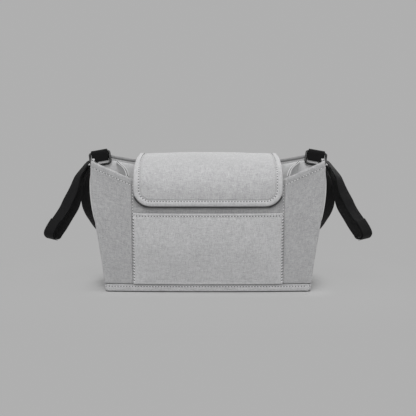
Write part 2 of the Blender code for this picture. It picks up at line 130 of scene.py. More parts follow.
# Tabs and rings
TAB_CENTRE = 0.1705
TAB_WIDTH = 0.026
TAB_TILT = math.radians(10)
TAB_LEG = 0.022
TAB_INNER_LEG = 0.007
TAB_RISE = 0.0057
RING_BAR = 0.0018
RING_FULLNESS = 1.1
RING_REACH = 0.0205
RING_PLAY = 0.0008
RING_CORNER = 0.0055
RING_BEND = 0.0026
RING_HANG = math.radians(21)
RING_RISE = 0.0068

# Straps
WEBBING = 0.0016
WEBBING_WIDTH = 0.028
STRAP_Y = 0.024
PATCH_THICK = 0.001
TIP_LENGTH = 0.034

SIDES = (("left", -1), ("right", 1))


# Settings

def colour_setting(name, description, default):
    return FloatVectorProperty(name=name, description=description, subtype="COLOR",
                               size=3, min=0, max=1, default=default)


def length_setting(name, description, default):
    return FloatProperty(name=name, description=description, subtype="DISTANCE", unit="LENGTH",
                         default=default)


class ClothSettings(bpy.types.PropertyGroup):
    wall_light: colour_setting("Wall light fibres", "Lighter fibres of the walls", (0.52, 0.52, 0.525))
    wall_dark: colour_setting("Wall dark fibres", "Darker fibres of the walls", (0.27, 0.27, 0.275))
    flap_light: colour_setting("Flap light fibres", "Lighter fibres of the flap", (0.52, 0.52, 0.525))
    flap_dark: colour_setting("Flap dark fibres", "Darker fibres of the flap", (0.27, 0.27, 0.275))
    lining_colour: colour_setting("Lining", "Colour of the lining", (0.62, 0.62, 0.625))
    thread_colour: colour_setting("Thread", "Colour of the sewing thread", (0.80, 0.80, 0.81))
    webbing_colour: colour_setting("Webbing", "Colour of the straps and tabs", (0.0018, 0.0018, 0.002))
    plastic_colour: colour_setting("Plastic", "Colour of the rings", (0.002, 0.002, 0.0022))
    thread_pitch: length_setting("Weave pitch", "Distance from one woven thread to the next", 0.0012)
    rib_pitch: length_setting("Rib pitch", "Distance from one rib of the webbing to the next", 0.0017)


class SewingSettings(bpy.types.PropertyGroup):
    stitch_length: length_setting("Stitch length", "Visible length of one stitch", 0.0025)
    stitch_pitch: length_setting("Stitch pitch", "Distance from one stitch to the next", 0.0043)
    thread_radius: length_setting("Thread radius", "Radius of the sewing thread", 0.00055)
    hem: length_setting("Hem", "Height of the folded hem on the rim", 0.0095)
    hem_rise: length_setting("Hem rise", "How far the folded hem stands proud", 0.0006)
    groove: length_setting("Seam groove", "How deep a stitched line draws the cloth in", 0.0009)


class PaddingSettings(bpy.types.PropertyGroup):
    pressure: FloatProperty(
        name="Pressure", description="Pressure that fills the padded cloth", default=4.0, min=0.0)
    frames: IntProperty(
        name="Frames", description="Steps that each cloth simulation takes", default=20, min=2)
    wall_cap: length_setting("Wall cap", "How far the walls may swell", 0.0022)
    flap_cap: length_setting("Flap cap", "How far the flap may swell", 0.0020)


class StageSettings(bpy.types.PropertyGroup):
    ground: colour_setting("Ground", "Colour of the floor and the backdrop", (0.40, 0.40, 0.40))
    tone: colour_setting("Background tone", "Even tone of the ground away from the bag", (0.43, 0.43, 0.43))
    camera_distance: length_setting("Camera distance", "Distance from the camera to the bag", 1.366)
    camera_height: length_setting("Camera height", "Height of the camera over the floor", 0.287)
    camera_pitch: FloatProperty(
        name="Camera pitch", description="How far the camera looks down",
        subtype="ANGLE", unit="ROTATION", default=math.radians(7.05))
    camera_lens: FloatProperty(
        name="Camera lens", description="Focal length for a 36 mm sensor, in millimetres",
        default=77.97, min=1.0)


# Forms of the bag

def mix(low, high, share):
    return low + (high - low) * share


def smooth(share):
    share = min(1.0, max(0.0, share))
    return share * share * (3.0 - 2.0 * share)


def bump(distance, width):
    """A soft ridge, 1 at its middle and fading over its width."""
    return math.exp(-(distance / width) ** 2)


def held(distance, width=0.004):
    """1 where the sewing of an edge holds the cloth still, fading over a width further in."""
    return 1.0 - smooth((distance - 0.001) / width)


def half_depth(z):
    return mix(BASE_DEPTH, RIM_DEPTH, z / RIM_HEIGHT) / 2


def side_swell(z):
    """Swelling of the sides, none at the base and the rim and most at two thirds of the height."""
    share = min(1.0, max(0.0, z / RIM_HEIGHT))
    return SIDE_SWELL * math.sin(math.pi * share ** 1.94)


def front_half(z):
    return mix(BASE_WIDTH, RIM_WIDTH, z / RIM_HEIGHT) / 2 + side_swell(z)


def back_half(z):
    return mix(BASE_WIDTH, BACK_RIM_WIDTH, z / RIM_HEIGHT) / 2 + side_swell(z)


def front_y(x, z):
    across = min(1.0, abs(x) / front_half(z))
    return -half_depth(z) - FRONT_BOW * (1.0 - across * across)


def side_x(y, z):
    share = (y + half_depth(z)) / (2 * half_depth(z))
    return mix(front_half(z), back_half(z), share)


def front_top(x):
    share = (abs(x) - SEAM_HALF) / (RIM_WIDTH / 2 - SEAM_HALF)
    return RIM_HEIGHT - FRONT_DIP * (1.0 - min(1.0, max(0.0, share)))


def back_top(x):
    share = (abs(x) - BACK_LEVEL_HALF) / (BACK_RIM_WIDTH / 2 - BACK_LEVEL_HALF)
    return RIM_HEIGHT - mix(BACK_DIP, BACK_CORNER_DIP, min(1.0, max(0.0, share)))


def side_top(y):
    front = RIM_HEIGHT - SIDE_DIP * smooth((y + RIM_DEPTH / 2) / (RIM_DEPTH / 4))
    notch = (SIDE_NOTCH - SIDE_DIP) * smooth((y - NOTCH_START) / (NOTCH_END - NOTCH_START))
    return front - notch


def catmull(points, samples):
    """A smooth curve through points of any length, as a list of tuples."""
    ends = [points[0], *points, points[-1]]
    curve = []
    spans = len(points) - 1
    for step in range(samples + 1):
        place = step / samples * spans
        span = min(int(place), spans - 1)
        t = place - span
        p0, p1, p2, p3 = ends[span : span + 4]
        curve.append(tuple(
            0.5 * (2 * b + (c - a) * t + (2 * a - 5 * b + 4 * c - d) * t * t
                   + (3 * b - a - 3 * c + d) * t ** 3)
            for a, b, c, d in zip(p0, p1, p2, p3)
        ))
    return curve


class Line:
    """A list of points that can be read at a share of its length."""

    def __init__(self, points):
        self.points = points
        self.lengths = [0.0]
        for a, b in zip(points, points[1:]):
            self.lengths.append(self.lengths[-1] + math.dist(a[:3], b[:3]))
        self.length = self.lengths[-1]

    def at(self, share):
        target = min(1.0, max(0.0, share)) * self.length
        low, high = 0, len(self.points) - 1
        while high - low > 1:
            middle = (low + high) // 2
            if self.lengths[middle] <= target:
                low = middle
            else:
                high = middle
        part = (target - self.lengths[low]) / max(1e-12, self.lengths[high] - self.lengths[low])
        return tuple(mix(a, b, part) for a, b in zip(self.points[low], self.points[high]))


def steps(size, spacing, edges=(), far_edges=None):
    """Distances from 0 to size, close together at both ends and evenly spaced between."""
    near = [0.0, *edges]
    far = [0.0, *(edges if far_edges is None else far_edges)]
    room = size - near[-1] - far[-1]
    count = max(1, round(room / spacing))
    middle = [near[-1] + room * step / count for step in range(1, count)]
    return near + middle + [size - distance for distance in reversed(far)]


# Builders

# Distances from an edge at which a sheet has its rows, so that the edge comes out round
ROUND_EDGE = (0.0004, 0.0011, 0.0022, 0.0040)
PAD_EDGE = (0.0004, 0.0010, 0.0020, 0.0034, 0.0055)


def finish_mesh(name, mesh, look, body, levels=1):
    """Puts a finished mesh in the scene, smooth, with its finish and its place on a body."""
    obj = bpy.data.objects.new(name, mesh)
    bpy.context.scene.collection.objects.link(obj)
    mesh.materials.append(look)
    mesh.shade_smooth()
    if levels:
        smoother = obj.modifiers.new("smoother", "SUBSURF")
        smoother.levels = levels
        smoother.render_levels = levels
    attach(obj, body)
    return obj


def grid_normals(points, outward):
    """Normals of a grid of points, turned so that they face the way outward(point) gives."""
    rows, columns = len(points), len(points[0])
    normals = []
    for i in range(rows):
        line = []
        for j in range(columns):
            along = points[i][min(j + 1, columns - 1)] - points[i][max(j - 1, 0)]
            up = points[min(i + 1, rows - 1)][j] - points[max(i - 1, 0)][j]
            line.append(along.cross(up).normalized())
        normals.append(line)
    middle = normals[rows // 2][columns // 2]
    if middle.dot(outward(points[rows // 2][columns // 2])) < 0:
        normals = [[-normal for normal in line] for line in normals]
    return normals


def lengths_of(line):
    total = [0.0]
    for a, b in zip(line, line[1:]):
        total.append(total[-1] + (b - a).length)
    return total


def padded_sheet(name, points, border, thick, outward, look, body="bag", lift=None, hold=None,
                 levels=1, round_to=None):
    """A closed pad from a grid of points on its outer face, with round edges and a UV map in metres.

    border[i][j] is the distance to the nearest edge, lift(i, j) moves the outer face, and
    hold(i, j) is 1 where sewing holds the cloth still.
    """
    rows, columns = len(points), len(points[0])
    normals = grid_normals(points, outward)
    radius = round_to or thick / 2
    mesh = bpy.data.meshes.new(name)
    shape = bmesh.new()
    uv = shape.loops.layers.uv.new("UVMap")
    grip = shape.verts.layers.float.new("hold_value")
    across = lengths_of(points[rows // 2])
    up = lengths_of([line[columns // 2] for line in points])
    outer, inner, flat = [], [], {}
    for i in range(rows):
        outer_line, inner_line = [], []
        for j in range(columns):
            near = max(0.0, min(1.0, border(i, j) / radius))
            half = thick / 2 * math.sqrt(max(0.0, 1.0 - (1.0 - near) ** 2))
            normal = normals[i][j]
            raised = lift(i, j) * near if lift else 0.0
            middle = points[i][j] - normal * (thick / 2)
            top = shape.verts.new(middle + normal * (half + raised))
            top[grip] = hold(i, j) if hold else 1.0
            on_edge = i in (0, rows - 1) or j in (0, columns - 1)
            bottom = top if on_edge else shape.verts.new(middle - normal * half)
            if bottom is not top:
                bottom[grip] = 1.0
            flat[top] = (across[j], up[i])
            flat[bottom] = (across[j], up[i])
            outer_line.append(top)
            inner_line.append(bottom)
        outer.append(outer_line)
        inner.append(inner_line)
    for i in range(rows - 1):
        for j in range(columns - 1):
            quad = (outer[i][j], outer[i][j + 1], outer[i + 1][j + 1], outer[i + 1][j])
            under = (inner[i][j], inner[i + 1][j], inner[i + 1][j + 1], inner[i][j + 1])
            for corners in (quad, under):
                face = shape.faces.new(corners)
                for loop in face.loops:
                    loop[uv].uv = flat[loop.vert]
    shape.normal_update()
    bmesh.ops.recalc_face_normals(shape, faces=shape.faces)
    holds = [vert[grip] for vert in shape.verts]
    shape.to_mesh(mesh)
    shape.free()
    obj = finish_mesh(name, mesh, look, body, levels)
    group = obj.vertex_groups.new(name="hold")
    for index, value in enumerate(holds):
        group.add([index], value, "REPLACE")
    return obj


def swell(obj, cap, pressure=None):
    """Fills a sewn pad by cloth simulation, and keeps each point within cap of where it was."""
    padding = bpy.context.scene.organizer_padding
    smoother = obj.modifiers.get("smoother")
    if smoother:
        smoother.show_viewport = False
    rest = [vertex.co.copy() for vertex in obj.data.vertices]
    cloth = obj.modifiers.new("fill", "CLOTH")
    settings = cloth.settings
    settings.quality = 4
    settings.mass = 0.3
    settings.tension_stiffness = 12
    settings.compression_stiffness = 12
    settings.shear_stiffness = 4
    settings.bending_stiffness = 0.4
    settings.use_pressure = True
    settings.uniform_pressure_force = padding.pressure if pressure is None else pressure
    settings.vertex_group_mass = "hold"
    settings.effector_weights.gravity = 0
    cloth.collision_settings.use_collision = False
    cloth.point_cache.frame_start = 1
    cloth.point_cache.frame_end = padding.frames
    scene = bpy.context.scene
    for step in range(1, padding.frames + 1):
        scene.frame_set(step)
    graph = bpy.context.evaluated_depsgraph_get()
    filled = obj.evaluated_get(graph).to_mesh()
    moved = [vertex.co.copy() for vertex in filled.vertices]
    obj.evaluated_get(graph).to_mesh_clear()
    obj.modifiers.remove(cloth)
    scene.frame_set(1)
    for vertex, start, end in zip(obj.data.vertices, rest, moved):
        change = end - start
        if change.length > 1e-9:
            vertex.co = start + change * (cap * math.tanh(change.length / cap) / change.length)
    if smoother:
        smoother.show_viewport = True
    obj.data.update()


def swept(name, path, section, look, body, closed=False, levels=0):
    """A section of (across, lift) points swept along a path of (point, across, lift) frames."""
    mesh = bpy.data.meshes.new(name)
    shape = bmesh.new()
    uv = shape.loops.layers.uv.new("UVMap")
    rings = []
    for point, across, lift in path:
        rings.append([shape.verts.new(point + across * a + lift * b) for a, b in section])
    count = len(section)
    round_length = [0.0]
    for index in range(count):
        round_length.append(round_length[-1] + math.dist(section[index], section[(index + 1) % count]))
    run = 0.0
    spans = len(rings) if closed else len(rings) - 1
    for step in range(spans):
        low, high = rings[step], rings[(step + 1) % len(rings)]
        ahead = run + (path[(step + 1) % len(rings)][0] - path[step][0]).length
        for index in range(count):
            after = (index + 1) % count
            face = shape.faces.new((low[index], low[after], high[after], high[index]))
            corners = ((round_length[index], run), (round_length[index + 1], run),
                       (round_length[index + 1], ahead), (round_length[index], ahead))
            for loop, corner in zip(face.loops, corners):
                loop[uv].uv = corner
        run = ahead
    if not closed:
        shape.faces.new(rings[0])
        shape.faces.new(rings[-1])
    bmesh.ops.recalc_face_normals(shape, faces=shape.faces)
    shape.to_mesh(mesh)
    shape.free()
    return finish_mesh(name, mesh, look, body, levels)


def path_frames(points, up):
    """(point, across, lift) along a list of points, with lift kept near up(index)."""
    frames = []
    for index, point in enumerate(points):
        ahead = points[min(index + 1, len(points) - 1)]
        behind = points[max(index - 1, 0)]
        run = (ahead - behind).normalized()
        lift = up(index)
        lift = (lift - run * lift.dot(run)).normalized()
        frames.append((point, run.cross(lift).normalized(), lift))
    return frames


def round_section(radius, sides):
    angles = [2 * math.pi * k / sides for k in range(sides)]
    return [(radius * math.cos(angle), radius * math.sin(angle)) for angle in angles]


class Skin:
    """The finished surface of a piece, to lay stitches on."""

    def __init__(self, *names):
        graph = bpy.context.evaluated_depsgraph_get()
        verts, faces = [], []
        for name in names:
            obj = bpy.data.objects[name].evaluated_get(graph)
            mesh = obj.to_mesh()
            start = len(verts)
            verts += [obj.matrix_world @ vertex.co for vertex in mesh.vertices]
            faces += [[start + index for index in polygon.vertices] for polygon in mesh.polygons]
            obj.to_mesh_clear()
        self.tree = BVHTree.FromPolygons(verts, faces)

    def lay(self, point, normal, reach=0.012):
        """Where a line through point, against normal, meets the surface, and the normal there."""
        found = self.tree.ray_cast(point + normal * reach, -normal, 2 * reach)
        if found[0] is None:
            return None
        facing = found[1] if found[1].dot(normal) > 0 else -found[1]
        return found[0], facing


def sewn_line(name, runs, skin=None, thread=1.0, shade_dots=1.15):
    """A row of stitches, with small dark dots between them: painted shade where the thread sinks into the
    cloth.
    """
    sewing = bpy.context.scene.organizer_sewing
    stitch_line(f"{name}_stitches", runs, look("Grey thread"), skin, sewing.stitch_length,
                sewing.thread_radius * thread, 0.0)
    # The dots between the stitches are painted shade, in the seam-shade finish.
    stitch_line(f"{name}_holes", runs, look("Seam shade"), skin,
                sewing.stitch_pitch - sewing.stitch_length, sewing.thread_radius * shade_dots, 0.5)


# A stitch as (share of its length, rise of its middle, thickness), both measured in thread radii
STITCH_PROFILE = (
    (0.0, -0.9, 0.55), (0.18, 0.25, 0.95), (0.5, 0.55, 1.0), (0.82, 0.25, 0.95), (1.0, -0.9, 0.55),
)


def stitch_line(name, runs, finish, skin, length, radius, phase):
    """Short threads along runs of (point, normal), each dipping into the cloth at its ends."""
    sewing = bpy.context.scene.organizer_sewing
    verts, faces = [], []
    sides = 5
    for run in runs:
        line = Line([(*point, *normal) for point, normal in run])
        count = int(line.length / sewing.stitch_pitch)
        if count < 1:
            continue
        pitch = line.length / count
        for number in range(count if phase == 0.0 else count - 1):
            start = len(verts)
            good = True
            rings = []
            for share, rise, fat in STITCH_PROFILE:
                at = (number + phase) * pitch + (pitch - length) / 2 + share * length
                spot = line.at(at / line.length)
                point, normal = Vector(spot[:3]), Vector(spot[3:]).normalized()
                if skin:
                    laid = skin.lay(point, normal)
                    if laid is None:
                        good = False
                        break
                    point, normal = laid
                ahead = Vector(line.at(min(1.0, at / line.length + 0.002))[:3])
                behind = Vector(line.at(max(0.0, at / line.length - 0.002))[:3])
                run_way = (ahead - behind).normalized()
                across = run_way.cross(normal).normalized()
                centre = point + normal * (radius * rise)
                ring = []
                for k in range(sides):
                    angle = 2 * math.pi * k / sides
                    way = across * math.cos(angle) + normal * math.sin(angle)
                    ring.append(centre + way * radius * fat)
                rings.append(ring)
            if not good:
                continue
            for ring in rings:
                verts += ring
            for step in range(len(rings) - 1):
                for k in range(sides):
                    after = (k + 1) % sides
                    base = start + step * sides
                    faces.append((base + k, base + after, base + sides + after, base + sides + k))
            last = start + (len(rings) - 1) * sides
            faces.append(tuple(start + k for k in reversed(range(sides))))
            faces.append(tuple(last + k for k in range(sides)))
    mesh = bpy.data.meshes.new(name)
    mesh.from_pydata([tuple(vertex) for vertex in verts], [], faces)
    mesh.uv_layers.new(name="UVMap")
    return finish_mesh(name, mesh, finish, "bag", 0)


# Materials

def feed(tree, socket, value):
    if isinstance(value, bpy.types.NodeSocket):
        tree.links.new(value, socket)
    elif value is not None:
        socket.default_value = value


def maths(tree, operation, a, b=None, c=None):
    node = tree.nodes.new("ShaderNodeMath")
    node.operation = operation
    for socket, value in zip(node.inputs, (a, b, c)):
        feed(tree, socket, value)
    return node.outputs[0]


def blend_colour(tree, share, a, b):
    node = tree.nodes.new("ShaderNodeMix")
    node.data_type = "RGBA"
    feed(tree, node.inputs[0], share)
    feed(tree, node.inputs[6], a)
    feed(tree, node.inputs[7], b)
    return node.outputs[2]


def vector_of(tree, x, y, z=0.0):
    node = tree.nodes.new("ShaderNodeCombineXYZ")
    for socket, value in zip(node.inputs, (x, y, z)):
        feed(tree, socket, value)
    return node.outputs[0]


def noise_at(tree, vector, scale, detail=2.0, roughness=0.5):
    node = tree.nodes.new("ShaderNodeTexNoise")
    feed(tree, node.inputs["Vector"], vector)
    node.inputs["Scale"].default_value = scale
    node.inputs["Detail"].default_value = detail
    node.inputs["Roughness"].default_value = roughness
    return node.outputs[0]


def new_group(name, inputs, outputs):
    tree = bpy.data.node_groups.new(name, "ShaderNodeTree")
    for label, kind in inputs:
        tree.interface.new_socket(name=label, in_out="INPUT", socket_type=kind)
    for label, kind in outputs:
        tree.interface.new_socket(name=label, in_out="OUTPUT", socket_type=kind)
    start = tree.nodes.new("NodeGroupInput")
    end = tree.nodes.new("NodeGroupOutput")
    return tree, start, end


def weave_group():
    """Plain weave of mixed light and dark fibres, on a UV map in metres."""
    tree, start, end = new_group(
        "Mixed weave",
        (("UV", "NodeSocketVector"), ("Pitch", "NodeSocketFloat"), ("Light", "NodeSocketColor"),
         ("Dark", "NodeSocketColor"), ("Slub", "NodeSocketFloat"), ("Cloud", "NodeSocketFloat")),
        (("Color", "NodeSocketColor"), ("Height", "NodeSocketFloat"), ("Fibre", "NodeSocketFloat")))
    split = tree.nodes.new("ShaderNodeSeparateXYZ")
    tree.links.new(start.outputs["UV"], split.inputs[0])
    pitch = start.outputs["Pitch"]
    warp = maths(tree, "DIVIDE", split.outputs[0], pitch)
    weft = maths(tree, "DIVIDE", split.outputs[1], pitch)
    warp_number = maths(tree, "FLOOR", warp)
    weft_number = maths(tree, "FLOOR", weft)
    over = maths(tree, "FLOORED_MODULO", maths(tree, "ADD", warp_number, weft_number), 2.0)
    warp_round = maths(tree, "SINE", maths(tree, "MULTIPLY", maths(tree, "FRACT", warp), math.pi))
    weft_round = maths(tree, "SINE", maths(tree, "MULTIPLY", maths(tree, "FRACT", weft), math.pi))
    warp_top = maths(tree, "MULTIPLY", warp_round, maths(tree, "MULTIPLY_ADD", weft_round, 0.55, 0.45))
    weft_top = maths(tree, "MULTIPLY", weft_round, maths(tree, "MULTIPLY_ADD", warp_round, 0.55, 0.45))
    warp_share = maths(tree, "MULTIPLY", warp_top, over)
    weft_share = maths(tree, "MULTIPLY", weft_top, maths(tree, "SUBTRACT", 1.0, over))
    height = maths(tree, "ADD", warp_share, weft_share)
    warp_fibre = noise_at(tree, vector_of(tree, maths(tree, "MULTIPLY", warp_number, 1.73),
                                          maths(tree, "MULTIPLY", weft, 0.15)), 1.0, 3.0, 0.65)
    weft_fibre = noise_at(tree, vector_of(tree, maths(tree, "MULTIPLY", warp, 0.15),
                                          maths(tree, "MULTIPLY", weft_number, 1.91), 37.0), 1.0, 3.0, 0.65)
    fibre = maths(tree, "ADD", maths(tree, "MULTIPLY", warp_fibre, over),
                  maths(tree, "MULTIPLY", weft_fibre, maths(tree, "SUBTRACT", 1.0, over)))
    sharp = maths(tree, "MULTIPLY_ADD", maths(tree, "SUBTRACT", fibre, 0.5), start.outputs["Slub"], 0.5)
    patches = noise_at(tree, start.outputs["UV"], 14.0, 3.0, 0.6)
    cloudy = maths(tree, "MULTIPLY", maths(tree, "SUBTRACT", patches, 0.5), start.outputs["Cloud"])
    # Painted shade: the colour darkens in the weave's valleys and lightens a little on the crowns of the
    # threads.
    deep = maths(tree, "MULTIPLY_ADD", height, 0.22, -0.13)
    share = maths(tree, "ADD", maths(tree, "ADD", sharp, cloudy), deep)
    share = maths(tree, "MINIMUM", maths(tree, "MAXIMUM", share, 0.0), 1.0)
    mixed = blend_colour(tree, share, start.outputs["Dark"], start.outputs["Light"])
    tree.links.new(mixed, end.inputs["Color"])
    tree.links.new(height, end.inputs["Height"])
    tree.links.new(fibre, end.inputs["Fibre"])
    return tree


def rib_group():
    """Ribbed webbing: ribs across its width, with the yarn's fine twist, and a painted highlight on the rib
    crowns.
    """
    tree, start, end = new_group(
        "Webbing ribs",
        (("UV", "NodeSocketVector"), ("Rib", "NodeSocketFloat"), ("Color", "NodeSocketColor"),
         ("Shine", "NodeSocketFloat")),
        (("Color", "NodeSocketColor"), ("Height", "NodeSocketFloat")))
    split = tree.nodes.new("ShaderNodeSeparateXYZ")
    tree.links.new(start.outputs["UV"], split.inputs[0])
    along = maths(tree, "DIVIDE", split.outputs[1], start.outputs["Rib"])
    across = maths(tree, "DIVIDE", split.outputs[0], maths(tree, "MULTIPLY", start.outputs["Rib"], 0.55))
    ribs = maths(tree, "ABSOLUTE", maths(tree, "SINE", maths(tree, "MULTIPLY", along, math.pi)))
    yarn = maths(tree, "ABSOLUTE", maths(tree, "SINE", maths(
        tree, "MULTIPLY", maths(tree, "ADD", across, maths(tree, "MULTIPLY", along, 0.5)), math.pi)))
    height = maths(tree, "MULTIPLY_ADD", yarn, 0.35, maths(tree, "MULTIPLY", ribs, 0.65))
    # Painted highlight: the colour lightens towards a paler tone on the rib crowns; the noise adds an
    # uneven yarn tone.
    uneven = noise_at(tree, start.outputs["UV"], 240.0, 3.0, 0.6)
    shade = maths(tree, "MULTIPLY", maths(tree, "ADD", height, uneven), start.outputs["Shine"])
    highlighted = blend_colour(tree, shade, start.outputs["Color"], (0.020, 0.020, 0.021, 1.0))
    tree.links.new(highlighted, end.inputs["Color"])
    tree.links.new(maths(tree, "MULTIPLY_ADD", uneven, 0.2, height), end.inputs["Height"])
    return tree


def material(name):
    made = bpy.data.materials.new(name)
    made.use_nodes = True
    return made, made.node_tree, made.node_tree.nodes["Principled BSDF"]


def place_group(tree, group, **values):
    node = tree.nodes.new("ShaderNodeGroup")
    node.node_tree = group
    for label, value in values.items():
        feed(tree, node.inputs[label.replace("_", " ")], value)
    return node


def map_uv(tree):
    node = tree.nodes.new("ShaderNodeUVMap")
    node.uv_map = "UVMap"
    return node.outputs[0]


def add_bump(tree, shader, height, distance, strength):
    node = tree.nodes.new("ShaderNodeBump")
    node.inputs["Distance"].default_value = distance
    node.inputs["Strength"].default_value = strength
    feed(tree, node.inputs["Height"], height)
    tree.links.new(node.outputs[0], shader.inputs["Normal"])


def cloth_look(name, light, dark, pitch, slub=2.2, cloud=0.22, roughness=0.9, sheen=0.3, relief=0.6):
    made, tree, shader = material(name)
    group = bpy.data.node_groups["Mixed weave"]
    weave = place_group(tree, group, UV=map_uv(tree), Pitch=pitch, Light=(*light, 1.0), Dark=(*dark, 1.0),
                        Slub=slub, Cloud=cloud)
    tree.links.new(weave.outputs["Color"], shader.inputs["Base Color"])
    rough = maths(tree, "MULTIPLY_ADD", weave.outputs["Fibre"], -0.12, roughness + 0.06)
    tree.links.new(rough, shader.inputs["Roughness"])
    shader.inputs["Sheen Weight"].default_value = sheen
    shader.inputs["Sheen Roughness"].default_value = 0.5
    add_bump(tree, shader, weave.outputs["Height"], pitch * 0.35, relief)
    return made


def webbing_look(name, colour, rib, rib_highlight, relief, roughness=0.62):
    made, tree, shader = material(name)
    ribs = place_group(tree, bpy.data.node_groups["Webbing ribs"], UV=map_uv(tree), Rib=rib,
                       Color=(*colour, 1.0), Shine=rib_highlight)
    tree.links.new(ribs.outputs["Color"], shader.inputs["Base Color"])
    shader.inputs["Roughness"].default_value = roughness
    shader.inputs["Specular IOR Level"].default_value = 0.08
    add_bump(tree, shader, ribs.outputs["Height"], rib * 0.3, relief)
    return made


def plastic_look(name, colour):
    made, tree, shader = material(name)
    shader.inputs["Base Color"].default_value = (*colour, 1.0)
    where = tree.nodes.new("ShaderNodeTexCoord").outputs["Object"]
    grain = noise_at(tree, where, 900.0, 3.0, 0.6)
    flow = noise_at(tree, where, 60.0, 2.0, 0.5)
    tree.links.new(maths(tree, "MULTIPLY_ADD", flow, 0.12, 0.16), shader.inputs["Roughness"])
    shader.inputs["Specular IOR Level"].default_value = 0.35
    add_bump(tree, shader, grain, 0.00003, 0.3)
    return made


def mottled(name, grain, colour, darkest, roughness):
    """A material whose colour falls to a darkest share of itself, by a noise (scale, detail, roughness)."""
    made, tree, shader = material(name)
    where = tree.nodes.new("ShaderNodeTexCoord").outputs["Object"]
    fibres = noise_at(tree, where, *grain)
    dark = shade(colour, darkest)
    tree.links.new(blend_colour(tree, fibres, (*dark, 1.0), (*colour, 1.0)), shader.inputs["Base Color"])
    shader.inputs["Roughness"].default_value = roughness
    return made, tree, shader, where, fibres


def thread_look(name, colour):
    made, _, shader, _, _ = mottled(name, (2500.0, 2.0, 0.5), colour, 0.7, 0.6)
    shader.inputs["Sheen Weight"].default_value = 0.2
    return made


def board_look(name, colour):
    """Grey fibre board, hidden between the base cloth and the lining."""
    made, tree, shader, _, fibres = mottled(name, (420.0, 4.0, 0.7), colour, 0.55, 0.85)
    add_bump(tree, shader, fibres, 0.0002, 0.5)
    return made


def tape_look(name, colour):
    """Hook-and-loop tape: a field of tiny loops."""
    made, tree, shader = material(name)
    where = tree.nodes.new("ShaderNodeTexCoord").outputs["Object"]
    cells = tree.nodes.new("ShaderNodeTexVoronoi")
    cells.inputs["Scale"].default_value = 1100.0
    tree.links.new(where, cells.inputs["Vector"])
    dark = shade(colour, 0.6)
    tree.links.new(blend_colour(tree, cells.outputs["Distance"], (*colour, 1.0), (*dark, 1.0)),
                   shader.inputs["Base Color"])
    shader.inputs["Roughness"].default_value = 0.95
    shader.inputs["Sheen Weight"].default_value = 0.3
    add_bump(tree, shader, cells.outputs["Distance"], 0.0006, 0.8)
    return made


# Where the ground goes over to its even tone: distances from the bag's foot, and the share it gains
EVEN_RANGES = ((0.004, 0.045, 0.88), (0.03, 0.25, 0.12))


def ground_look(name, colour, tone):
    """Plain floor that keeps its shadow near the bag and shows one even tone away from it."""
    made, tree, shader, where, _ = mottled(name, (3.0, 2.0, 0.5), colour, 0.985, 0.9)
    shader.inputs["Specular IOR Level"].default_value = 0.1
    split = tree.nodes.new("ShaderNodeSeparateXYZ")
    tree.links.new(where, split.inputs[0])

    def past(place, reach):
        """How far the ground's point lies past the bag's foot, along one axis."""
        return maths(tree, "MAXIMUM", maths(tree, "SUBTRACT", maths(tree, "ABSOLUTE", place), reach), 0.0)

    beside = past(split.outputs[0], BASE_WIDTH / 2)
    before = past(split.outputs[1], BASE_DEPTH / 2)
    reach = tree.nodes.new("ShaderNodeVectorMath")
    reach.operation = "LENGTH"
    tree.links.new(vector_of(tree, beside, before, split.outputs[2]), reach.inputs[0])
    ranges = []
    for near, far, share in EVEN_RANGES:
        away = tree.nodes.new("ShaderNodeMapRange")
        away.interpolation_type = "SMOOTHSTEP"
        away.inputs["From Min"].default_value = near
        away.inputs["From Max"].default_value = far
        away.inputs["To Max"].default_value = share
        tree.links.new(reach.outputs["Value"], away.inputs["Value"])
        ranges.append(away.outputs["Result"])
    even_share = maths(tree, "ADD", *ranges)
    path = tree.nodes.new("ShaderNodeLightPath")
    seen = maths(tree, "MAXIMUM", path.outputs["Is Camera Ray"], path.outputs["Is Glossy Ray"])
    even = tree.nodes.new("ShaderNodeEmission")
    even.inputs["Color"].default_value = (*tone, 1.0)
    joined = tree.nodes.new("ShaderNodeMixShader")
    tree.links.new(maths(tree, "MULTIPLY", seen, even_share), joined.inputs[0])
    tree.links.new(shader.outputs[0], joined.inputs[1])
    tree.links.new(even.outputs[0], joined.inputs[2])
    tree.links.new(joined.outputs[0], tree.nodes["Material Output"].inputs["Surface"])
    return made


def look(name):
    return bpy.data.materials[name]


def shade(colour, factor):
    return tuple(value * factor for value in colour)


